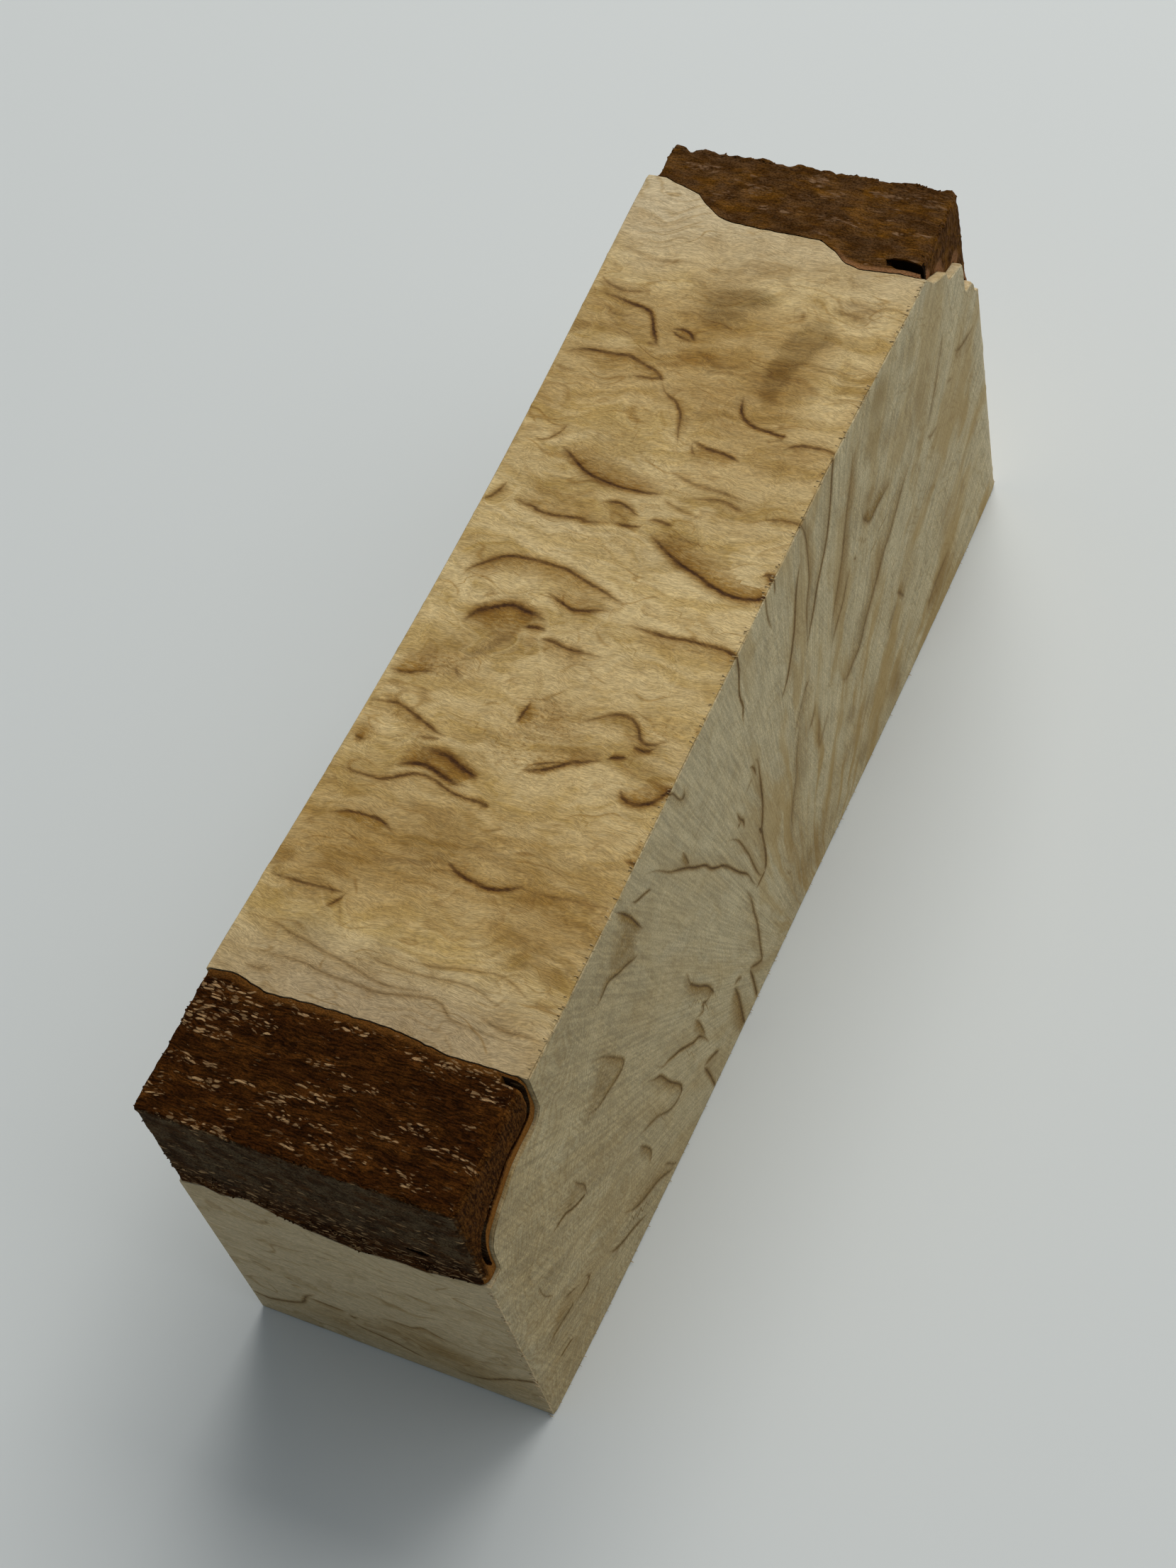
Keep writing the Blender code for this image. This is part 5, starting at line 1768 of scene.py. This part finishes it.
    def dress(self, obj: bpy.types.Object, hole: "BarkHole") -> None:
        """Stores where the flecks, the painted reflection, the bast, the hole's painted shade and the
        sawn ends are.

        Args:
            obj: the bark.
            hole: the hole cut in it, whose inside gets painted shade.
        """
        mesh = obj.data
        points = mesh_points(mesh) / MM
        vertex, face = corner_faces(mesh)
        normals = np.empty(3 * len(mesh.polygons))
        mesh.polygons.foreach_get("normal", normals)
        normal = normals.reshape(-1, 3)[face]
        at = points[vertex]
        up = smooth_step((normal[:, 2] - 0.55) / 0.3)
        front = smooth_step((self.seam.side * normal[:, 1] - 0.55) / 0.3)
        ends = smooth_step((np.abs(normal[:, 0]) - 0.5) / 0.3)
        flecked = np.full(len(at), 0.05)
        for fleck in self.flecks:
            offset = (at[:, :2] - np.array(fleck.place)) / np.array(fleck.reach)
            near = np.exp(-((offset**2).sum(axis=1) ** 1.5))
            flecked = np.maximum(flecked, fleck.density * near)
        for bare in self.bare:
            offset = (at[:, :2] - np.array(bare.place)) / np.array(bare.reach)
            flecked *= 1.0 - 0.85 * np.exp(-((offset**2).sum(axis=1) ** 1.5))
        low = np.mean([height for _, height in self.seam.low])
        # Painted reflection: a greyer share on the outer sawn side, and on the sawn top where one is
        # set.
        painted_sheen = front * smooth_step((at[:, 2] - low - 0.5) / 7.0)
        painted_sheen = np.maximum(painted_sheen, self.top_painted_sheen * up)
        bast = self.bast_share(at, ends, up)
        skirt = front * smooth_step((low + 7.0 - at[:, 2]) / 4.0)
        # Painted shade: faces inside the hole are marked -1, which the finish paints near black.
        bast = np.where(self.in_hole(mesh, hole)[face], -1.0, bast)
        values = np.stack([flecked * up + 0.12 * front + 0.5 * skirt, painted_sheen, bast], axis=1)
        add_values(mesh, "bark", values)
        add_values(mesh, "cut_end", ends)
        self.add_crumbly(mesh)
        shade(mesh, 45)

    def in_hole(self, mesh: bpy.types.Mesh, hole: "BarkHole") -> np.ndarray:
        """Finds the faces inside the hole, which get painted shade.

        Args:
            mesh: the bark's mesh.
            hole: the hole.

        Returns:
            True for each such face.
        """
        middles = np.empty(3 * len(mesh.polygons))
        mesh.polygons.foreach_get("center", middles)
        middles = middles.reshape(-1, 3) / MM
        from_top = BLOCK.top_height(middles[:, 1]) - middles[:, 2]
        from_side = BLOCK.half_length - np.abs(middles[:, 1])
        offset = (middles - np.array(hole.place)) / np.array(hole.radii)
        near = np.sqrt((offset**2).sum(axis=1)) < 1.25
        return near & (np.minimum(from_top, from_side) > 0.2)

    def add_crumbly(self, mesh: bpy.types.Mesh) -> None:
        """Stores on every point how crumbly it is: most at the outer edges and the low seam."""
        points = mesh_points(mesh) / MM
        x, y, z = points.T
        side = self.seam.side
        top = BLOCK.top_height(y)
        outer_y = np.array([self.side_place(height) for height in z])
        to_side = np.abs(y - outer_y)
        low = np.interp(x, *np.array(self.seam.low).T)
        corner = np.exp(-(np.hypot(to_side, top - z) / 0.55) ** 2)
        front = smooth_step((1.2 - to_side) / 0.5)
        skirt = 0.55 * front * smooth_step((low + 4.5 - z) / 3.0)
        ends = np.minimum(x - x.min(), x.max() - x)
        ends = np.exp(-(np.hypot(ends, np.minimum(to_side, top - z)) / 0.6) ** 2)
        uneven = np.clip(0.5 + rough(points, (0.45, 0.8, 0.8), 4.0 + side), 0.0, 1.2)
        share = np.maximum(np.maximum(corner, skirt), 0.9 * ends) * uneven
        values = mesh.attributes.new("crumbly", "FLOAT", "POINT")
        values.data.foreach_set("value", share)

    def bast_share(self, at: np.ndarray, ends: np.ndarray, up: np.ndarray) -> np.ndarray:
        """How much of the warm bast shows: a strip beside the seam.

        Args:
            at: the places of the face corners.
            ends: 1 on the two sawn ends.
            up: 1 on the sawn top.

        Returns:
            A share for each corner.
        """
        shares = np.zeros(len(at))
        for x, low, high in ((-BLOCK.half_width, -30.0, 0.0), (BLOCK.half_width, 0.0, 30.0)):
            line = self.seam.cambium(x)
            rows = np.flatnonzero((at[:, 0] >= low) & (at[:, 0] < high) & (ends > 0.1))
            gaps = np.hypot(*(at[rows, None, 1:] - line[None]).transpose(2, 0, 1)).min(axis=1)
            shares[rows] = smooth_step((1.5 - gaps) / 0.5)
        seam_y = np.interp(at[:, 0], *np.array(self.seam.top).T)
        gap = self.seam.side * (at[:, 1] - seam_y)
        wide = np.where(self.seam.side > 0, smooth_step((at[:, 0] - 6.0) / 4.0), 0.5)
        return np.maximum(shares, 0.8 * up * wide * smooth_step((1.0 - gap) / 0.5))


NEAR_BARK = Bark(
    name="near_bark_rind",
    seam=NEAR_SEAM,
    gap=0.16,
    end_insets=(0.1, 0.3),
    side_insets=(0.0, 0.0),
    end_rounding=(0.5, 1.1),
    wear=0.4,
    chips=((-13.5, 1.6, 0.4), (12.0, 2.2, 0.5)),
    relief=0.22,
    counts=(116, 120, 26),
    flecks=NEAR_FLECKS,
    bare=NEAR_BARE,
)
FAR_BARK = Bark(
    name="far_bark_rind",
    seam=FAR_SEAM,
    gap=0.08,
    end_insets=(0.9, 0.9),
    side_insets=(0.6, 1.5),
    end_rounding=(0.5, 0.6),
    wear=0.8,
    chips=((-15.2, 1.2, 1.1), (-3.0, 1.6, 0.7), (8.5, 2.4, 0.5)),
    relief=0.32,
    counts=(104, 100, 16),
    flecks=FAR_FLECKS,
    # Painted reflection on its sawn top.
    top_painted_sheen=0.42,
)


@dataclass(frozen=True)
class ShrinkageCrack:
    """The crack that parts the bast from the near bark, open at the right end.

    Attributes:
        route: place along the block, height and half width, from the top down.
        start: how far in it reaches, across the block.
    """

    route: tuple[tuple[float, float, float], ...] = (
        (-51.50, 46.8, 0.34), (-51.50, 43.6, 0.34), (-51.75, 41.9, 0.34),
        (-52.8, 40.8, 0.26), (-56.8, 40.7, 0.20), (-59.9, 39.4, 0.20), (-62.5, 38.0, 0.30),
        (-63.9, 35.9, 0.45), (-64.2, 33.6, 0.40), (-64.0, 32.2, 0.15),
    )
    start: float = 15.0

    def cutter(self) -> bpy.types.Object:
        """The solid that the crack is cut with.

        Returns:
            An object that holds a thin, curved and slightly uneven slab.
        """
        line = curved([row[:2] for row in self.route], 5)
        rows = np.array(self.route)
        half = np.interp(np.linspace(0, len(rows) - 1, len(line)), range(len(rows)), rows[:, 2])
        ways = np.gradient(line, axis=0)
        across = np.stack([-ways[:, 1], ways[:, 0]], axis=1) / np.hypot(*ways.T)[:, None]
        work = bmesh.new()
        rings = []
        for x in np.linspace(self.start, BLOCK.half_width + 2, 9):
            spots = np.column_stack([np.full(len(line), x), line])
            uneven = half * (1.0 + 0.35 * rough(spots, (0.8, 0.9, 0.9), 6.0))
            left, right = line + across * uneven[:, None], line - across * uneven[:, None]
            ring = np.vstack([left, right[::-1]])
            rings.append([work.verts.new((x * MM, y * MM, z * MM)) for y, z in ring])
        return closed_loft("crack_cutter", work, rings)


def closed_loft(name: str, work: bmesh.types.BMesh, rings: list[list]) -> bpy.types.Object:
    """Joins rings of places to a closed solid.

    Args:
        name: the object's name.
        work: the mesh that holds the places.
        rings: the rings, each with as many places.

    Returns:
        The object.
    """
    count = len(rings[0])
    for ring, after in zip(rings, rings[1:]):
        for index in range(count):
            nxt = (index + 1) % count
            work.faces.new((ring[index], ring[nxt], after[nxt], after[index]))
    for ring in (rings[0], rings[-1]):
        for index in range(count // 2 - 1):
            opposite = count - 1 - index
            work.faces.new((ring[index], ring[index + 1], ring[opposite - 1], ring[opposite]))
    bmesh.ops.recalc_face_normals(work, faces=work.faces)
    mesh = bpy.data.meshes.new(name)
    work.to_mesh(mesh)
    work.free()
    obj = bpy.data.objects.new(name, mesh)
    bpy.context.scene.collection.objects.link(obj)
    return obj


@dataclass(frozen=True)
class BarkHole:
    """A hole in the bark, painted dark inside as shade.

    Attributes:
        place: its middle.
        radii: half of its size along the three axes.
        turn: how far it is turned about the upright axis, in degrees.
    """

    place: tuple[float, float, float]
    radii: tuple[float, float, float]
    turn: float

    def cutter(self) -> bpy.types.Object:
        """The uneven flattened ball that the hole is cut with."""
        work = bmesh.new()
        bmesh.ops.create_uvsphere(work, u_segments=40, v_segments=24, radius=1.0)
        turn = Matrix.Rotation(math.radians(self.turn), 3, "Z")
        for vert in work.verts:
            uneven = 1.0 + 0.22 * noise.noise(2.1 * vert.co)
            size = Vector(part * way for part, way in zip(vert.co, self.radii))
            vert.co = (turn @ size * uneven + Vector(self.place)) * MM
        mesh = bpy.data.meshes.new("hole_cutter")
        work.to_mesh(mesh)
        work.free()
        obj = bpy.data.objects.new("hole_cutter", mesh)
        bpy.context.scene.collection.objects.link(obj)
        return obj


def in_fixed_order(mesh: bpy.types.Mesh) -> bpy.types.Mesh:
    """The same mesh with its points and faces sorted by place.

    A cut numbers its new faces in another order each time, and what is scattered on a mesh
    follows the order of its faces.

    Args:
        mesh: the mesh as it comes from a cut, which is removed.

    Returns:
        The sorted mesh, without materials.
    """
    points = mesh_points(mesh)
    order = np.lexsort(points.T)
    number = np.argsort(order)
    faces = []
    for face in mesh.polygons:
        corners = [int(number[corner]) for corner in face.vertices]
        first = corners.index(min(corners))
        faces.append(corners[first:] + corners[:first])
    made = bpy.data.meshes.new(mesh.name)
    made.from_pydata(points[order].tolist(), [], sorted(faces))
    bpy.data.meshes.remove(mesh)
    return made


def cut(obj: bpy.types.Object, cutter: bpy.types.Object) -> None:
    """Cuts one object from another, and removes the cutter."""
    finish = obj.data.materials[0]
    modifier = obj.modifiers.new("cut", "BOOLEAN")
    modifier.operation = "DIFFERENCE"
    modifier.solver = "EXACT"
    modifier.object = cutter
    shown = obj.evaluated_get(bpy.context.evaluated_depsgraph_get())
    made = in_fixed_order(bpy.data.meshes.new_from_object(shown))
    obj.modifiers.clear()
    obj.data = made
    made.name = obj.name
    only_finish(made, finish)
    bpy.data.objects.remove(cutter, do_unlink=True)


class Scatter(NodeShape):
    """A tree that puts many small random copies of one shape on points."""

    def random(self, low: Sequence[float], high: Sequence[float], name: str):
        """A random vector for each point, between two named corners, with its own seed."""
        node = self.tree.add("FunctionNodeRandomValue", data_type="FLOAT_VECTOR")
        for key, corner in (("Min", low), ("Max", high)):
            sockets = [self.given(f"{name} {key} {axis}", float(part))
                       for axis, part in zip("XYZ", corner)]
            self.tree.feed(node.inputs[key], self.tree.joined(*sockets))
        self.tree.feed(node.inputs["Seed"], self.given(f"{name} Seed", self.seed))
        self.seed += 1
        return node.outputs["Value"]

    def copies(self, points, shape, offset, turn, size, finish) -> None:
        """Sets the copies on their points and closes the tree.

        Args:
            points: the points.
            shape: the shape that is copied.
            offset: how each point moves first.
            turn: how each copy is turned.
            size: how each copy is scaled.
            finish: the material.
        """
        moved = self.tree.add("GeometryNodeSetPosition")
        self.tree.feed(moved.inputs["Geometry"], points)
        self.tree.feed(moved.inputs["Offset"], offset)
        copy = self.tree.add("GeometryNodeInstanceOnPoints")
        for key, value in (("Points", moved.outputs[0]), ("Instance", shape),
                           ("Rotation", turn), ("Scale", size)):
            self.tree.feed(copy.inputs[key], value)
        self.geometry(copy.outputs[0], finish)


@dataclass(frozen=True)
class TornFibres:
    """Fibre ends that the saw tore at the edges of one end-grain side.

    Attributes:
        name: the piece's name.
        side: 1 for the right side and -1 for the left one.
        seed: seed of the random draws.
        spacing: how far apart they stand along the edges.
        lengths: the shortest and longest.
        widths: the thinnest and thickest, as half widths.
        root: how deep their foot stands in from the side.
        spread_up: how far they stray from the edge line.
        tilt: how far they turn from the fibre, in degrees.
    """

    name: str
    side: int
    seed: int
    spacing: float = 0.55
    lengths: tuple[float, float] = (0.30, 0.70)
    widths: tuple[float, float] = (0.04, 0.11)
    root: tuple[float, float] = (0.28, 0.62)
    spread_up: float = 0.06
    tilt: float = 13.0

    def routes(self) -> bpy.types.Mesh:
        """The edges that they stand on.

        Returns:
            A mesh of joined points, in metres.
        """
        x = self.side * BLOCK.half_width
        along = np.linspace(NEAR_SEAM.top_place(x) + 0.6, FAR_SEAM.top_place(x) - 0.6, 60)
        upright = np.linspace(0.4, NEAR_SEAM.low_place(x) - 0.6, 16)
        length = np.full(len(upright), -BLOCK.half_length)
        low = np.linspace(-BLOCK.half_length, BLOCK.half_length, 40)
        lines = [
            np.column_stack([along, BLOCK.top_height(along)]),
            np.column_stack([length, upright]),
            np.column_stack([low, np.full(len(low), 0.3)]),
        ]
        points = np.vstack(lines)
        points = BLOCK.bend(np.column_stack([np.full(len(points), x), points]))
        joins, first = [], 0
        for line in lines:
            joins += [(first + i, first + i + 1) for i in range(len(line) - 1)]
            first += len(line)
        mesh = bpy.data.meshes.new(self.name + "_edges")
        mesh.from_pydata((points * MM).tolist(), joins, [])
        return mesh

    def build(self, finish: bpy.types.Material) -> bpy.types.Object:
        """Sets the fibres on their edges.

        Args:
            finish: the wood's material.

        Returns:
            The piece.
        """
        shape = Scatter(self.name + "_copies")
        shape.seed = self.seed
        tree = shape.tree
        line = tree.add("GeometryNodeMeshToCurve")
        tree.feed(line.inputs["Mesh"], shape.start.outputs["Geometry"])
        points = tree.add("GeometryNodeCurveToPoints", mode="LENGTH")
        tree.feed(points.inputs["Curve"], line.outputs[0])
        tree.feed(points.inputs["Length"], shape.given("Spacing", self.spacing * MM))
        cone = tree.add("GeometryNodeMeshCone")
        for key, value in (("Vertices", 5), ("Radius Top", 0.2), ("Radius Bottom", 1.0),
                           ("Depth", 1.0)):
            tree.feed(cone.inputs[key], shape.given("Fibre " + key, value))
        stray = self.spread_up * MM
        ways = sorted(-self.side * part * MM for part in self.root)
        offset = shape.random((ways[0], -6 * stray, -2 * stray), (ways[1], 6 * stray, stray), "Place")
        lean, quarter = math.radians(self.tilt), math.pi / 2 * self.side
        turn = shape.random((-lean, quarter - lean, -lean), (lean, quarter + lean, lean), "Turn")
        thin, thick = (part * MM for part in self.widths)
        short, long = (part * MM for part in self.lengths)
        size = shape.random((thin, thin, short), (thick, thick, long), "Size")
        shape.copies(points.outputs["Points"], cone.outputs["Mesh"], offset, turn, size, finish)
        obj = shape.build(self.name, self.routes())
        add_values(obj.data, "tone", np.tile((-0.9, 0.0, 0.0), (len(obj.data.loops), 1)))
        shade(obj.data, 60)
        return obj


@dataclass(frozen=True)
class BarkCrumbs:
    """Loose-looking corky lumps on the crumbly edges of one piece of bark.

    Attributes:
        name: the piece's name.
        seed: seed of the random draws.
        density: how many stand on a square centimetre where the bark is most crumbly.
        sizes: the smallest and largest, as half widths.
    """

    name: str
    seed: int
    density: float = 520.0
    sizes: tuple[float, float] = (0.06, 0.17)

    def build(self, bark: bpy.types.Object, finish: bpy.types.Material) -> bpy.types.Object:
        """Sets the lumps on the bark, half sunk into it.

        Args:
            bark: the bark, with its crumbly share on every point.
            finish: its material.

        Returns:
            The piece.
        """
        shape = Scatter(self.name + "_copies")
        shape.seed = self.seed
        tree = shape.tree
        points = tree.add("GeometryNodeDistributePointsOnFaces")
        tree.feed(points.inputs["Mesh"], shape.start.outputs["Geometry"])
        share = tree.add("GeometryNodeInputNamedAttribute", data_type="FLOAT")
        share.inputs["Name"].default_value = "crumbly"
        density = shape.given("Density", self.density * 1e4)
        tree.feed(points.inputs["Density"], tree.math("MULTIPLY", share.outputs[0], density))
        tree.feed(points.inputs["Seed"], shape.given("Seed", self.seed))
        ball = tree.add("GeometryNodeMeshUVSphere")
        for key, value in (("Segments", 7), ("Rings", 5), ("Radius", 1.0)):
            tree.feed(ball.inputs[key], shape.given("Lump " + key, value))
        small, large = (part * MM for part in self.sizes)
        half_turn = math.pi
        offset = shape.random((0, 0, 0), (0, 0, 0), "Place")
        turn = shape.random((-0.5, -0.5, -half_turn), (0.5, 0.5, half_turn), "Turn")
        size = shape.random((small, small, 0.6 * small), (1.5 * large, large, 0.7 * large), "Size")
        shape.copies(points.outputs["Points"], ball.outputs["Mesh"], offset, turn, size, finish)
        obj = shape.build(self.name, bark.data.copy())
        shade(obj.data, 80)
        return obj


@dataclass(frozen=True)
class View:
    """The camera that took the picture, as found from the block's corners."""

    place: tuple[float, float, float] = (112.94, -144.38, 260.91)
    azimuth: float = 39.611
    elevation: float = 52.811
    roll: float = -18.119
    lens: float = 62.598
    sensor: float = 36.0

    def build(self) -> bpy.types.Object:
        """Adds the camera to the scene and makes it the scene's own."""
        turn, rise = math.radians(self.azimuth), math.radians(self.elevation)
        flat = math.cos(rise)
        back = Vector((math.sin(turn) * flat, -math.cos(turn) * flat, math.sin(rise)))
        level = Vector((math.cos(turn), math.sin(turn), 0.0))
        axes = Matrix((level, back.cross(level), back)).transposed()
        axes = axes @ Matrix.Rotation(math.radians(self.roll), 3, "Z")
        data = bpy.data.cameras.new("camera")
        data.lens = self.lens
        data.sensor_width = self.sensor
        data.clip_start, data.clip_end = 0.01, 20.0
        camera = bpy.data.objects.new("camera", data)
        camera.matrix_world = Matrix.Translation(Vector(self.place) * MM) @ axes.to_4x4()
        bpy.context.scene.collection.objects.link(camera)
        bpy.context.scene.camera = camera
        return camera


@dataclass(frozen=True)
class Lamp:
    """A soft square light, aimed at the middle of the block."""

    name: str
    azimuth: float
    elevation: float
    distance: float
    size: float
    power: float
    colour: Colour

    def build(self) -> None:
        """Adds the light to the scene."""
        turn, rise = math.radians(self.azimuth), math.radians(self.elevation)
        way = Vector((math.sin(turn) * math.cos(rise), math.cos(turn) * math.cos(rise),
                      math.sin(rise)))
        data = bpy.data.lights.new(self.name, "AREA")
        data.size = self.size
        data.energy = self.power
        data.color = paint(self.colour)[:3]
        light = bpy.data.objects.new(self.name, data)
        light.location = way * self.distance + Vector((0.0, 0.0, 0.02))
        light.rotation_mode = "QUATERNION"
        light.rotation_quaternion = way.to_track_quat("Z", "Y")
        bpy.context.scene.collection.objects.link(light)


@dataclass(frozen=True)
class Studio:
    """A plain pale floor under soft daylight."""

    floor_colour: Colour = (215, 220, 220)
    sky_colour: Colour = (200, 212, 222)
    sky_strength: float = 0.26
    floor_reach: float = 3.0
    floor_height: float = -0.05
    lamps: tuple[Lamp, ...] = (
        Lamp("window", 2.0, 48.0, 1.5, 1.2, 19.0, (255, 251, 246)),
        Lamp("fill", 75.0, 50.0, 1.5, 1.2, 4.0, (255, 251, 246)),
    )

    def build(self) -> None:
        """Adds the floor, the lamps and the sky."""
        mesh = bpy.data.meshes.new("floor")
        reach, height = self.floor_reach, self.floor_height * MM
        corners = [(x * reach, y * reach, height) for x, y in ((-1, -1), (1, -1), (1, 1), (-1, 1))]
        mesh.from_pydata(corners, [], [(0, 1, 2, 3)])
        floor = bpy.data.objects.new("floor", mesh)
        bpy.context.scene.collection.objects.link(floor)
        finish = Finish("floor_look", 0.7, 0.2)
        finish.shader.inputs["Base Color"].default_value = paint(self.floor_colour)
        mesh.materials.append(finish.material)
        for lamp in self.lamps:
            lamp.build()
        world = bpy.data.worlds.new("sky")
        world.use_nodes = True
        sky = world.node_tree.nodes["Background"]
        sky.inputs["Color"].default_value = paint(self.sky_colour)
        sky.inputs["Strength"].default_value = self.sky_strength
        bpy.context.scene.world = world
        bpy.context.scene.view_settings.view_transform = "Standard"


def stands_for(obj: bpy.types.Object, node: str) -> None:
    """Puts a finished piece in place of a node of the model."""
    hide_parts(node)
    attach(obj, "root")
    log.info("%s: %d faces", obj.name, len(obj.data.polygons))


def rides_along(obj: bpy.types.Object) -> None:
    """Fixes a finished piece that stands for no node of the model to the block."""
    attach(obj, "root")
    log.info("%s: %d faces", obj.name, len(obj.data.polygons))


def main() -> None:
    """Builds the block, its finishes and the studio, in order."""
    logging.basicConfig(level=logging.INFO, format="%(message)s")
    wood_look = WoodFinish().make()
    wood = FiguredWood().build(wood_look)
    stands_for(wood, "masur_wood")
    rides_along(TornFibres("torn_fibres_right", 1, 21).build(wood_look))
    # Its fourth colour is the painted reflection of the grey outer sawn side.
    near_finish = BarkFinish(
        "near_bark_look", (48, 24, 5), (76, 44, 13), (176, 142, 100), (102, 87, 64),
        (152, 100, 44), 0.12, (0.40, 1.6),
    )
    near_look = near_finish.make()
    near = NEAR_BARK.build(near_look)
    cut(near, ShrinkageCrack().cutter())
    # Its inside is painted dark as shade when the bark is dressed.
    slit = BarkHole((9.9, -65.9, 32.9), (1.25, 1.3, 0.45), 0.0)
    cut(near, slit.cutter())
    NEAR_BARK.dress(near, slit)
    stands_for(near, "near_bark")
    rides_along(BarkCrumbs("near_bark_crumbs", 5).build(near, near_look))
    # Its fourth colour is the painted reflection of its grey side and top.
    far_finish = BarkFinish(
        "far_bark_look", (62, 36, 5), (112, 72, 12), (138, 108, 80), (118, 90, 62),
        (154, 110, 74), 0.42, (0.68, 1.32),
    )
    far_look = far_finish.make()
    far = FAR_BARK.build(far_look)
    hole = BarkHole((15.6, 52.5, 50.0), (2.5, 0.75, 3.4), -6.0)
    cut(far, hole.cutter())
    FAR_BARK.dress(far, hole)
    stands_for(far, "far_bark")
    rides_along(BarkCrumbs("far_bark_crumbs", 9).build(far, far_look))
    View().build()
    Studio().build()


if __name__ == "__main__":
    main()
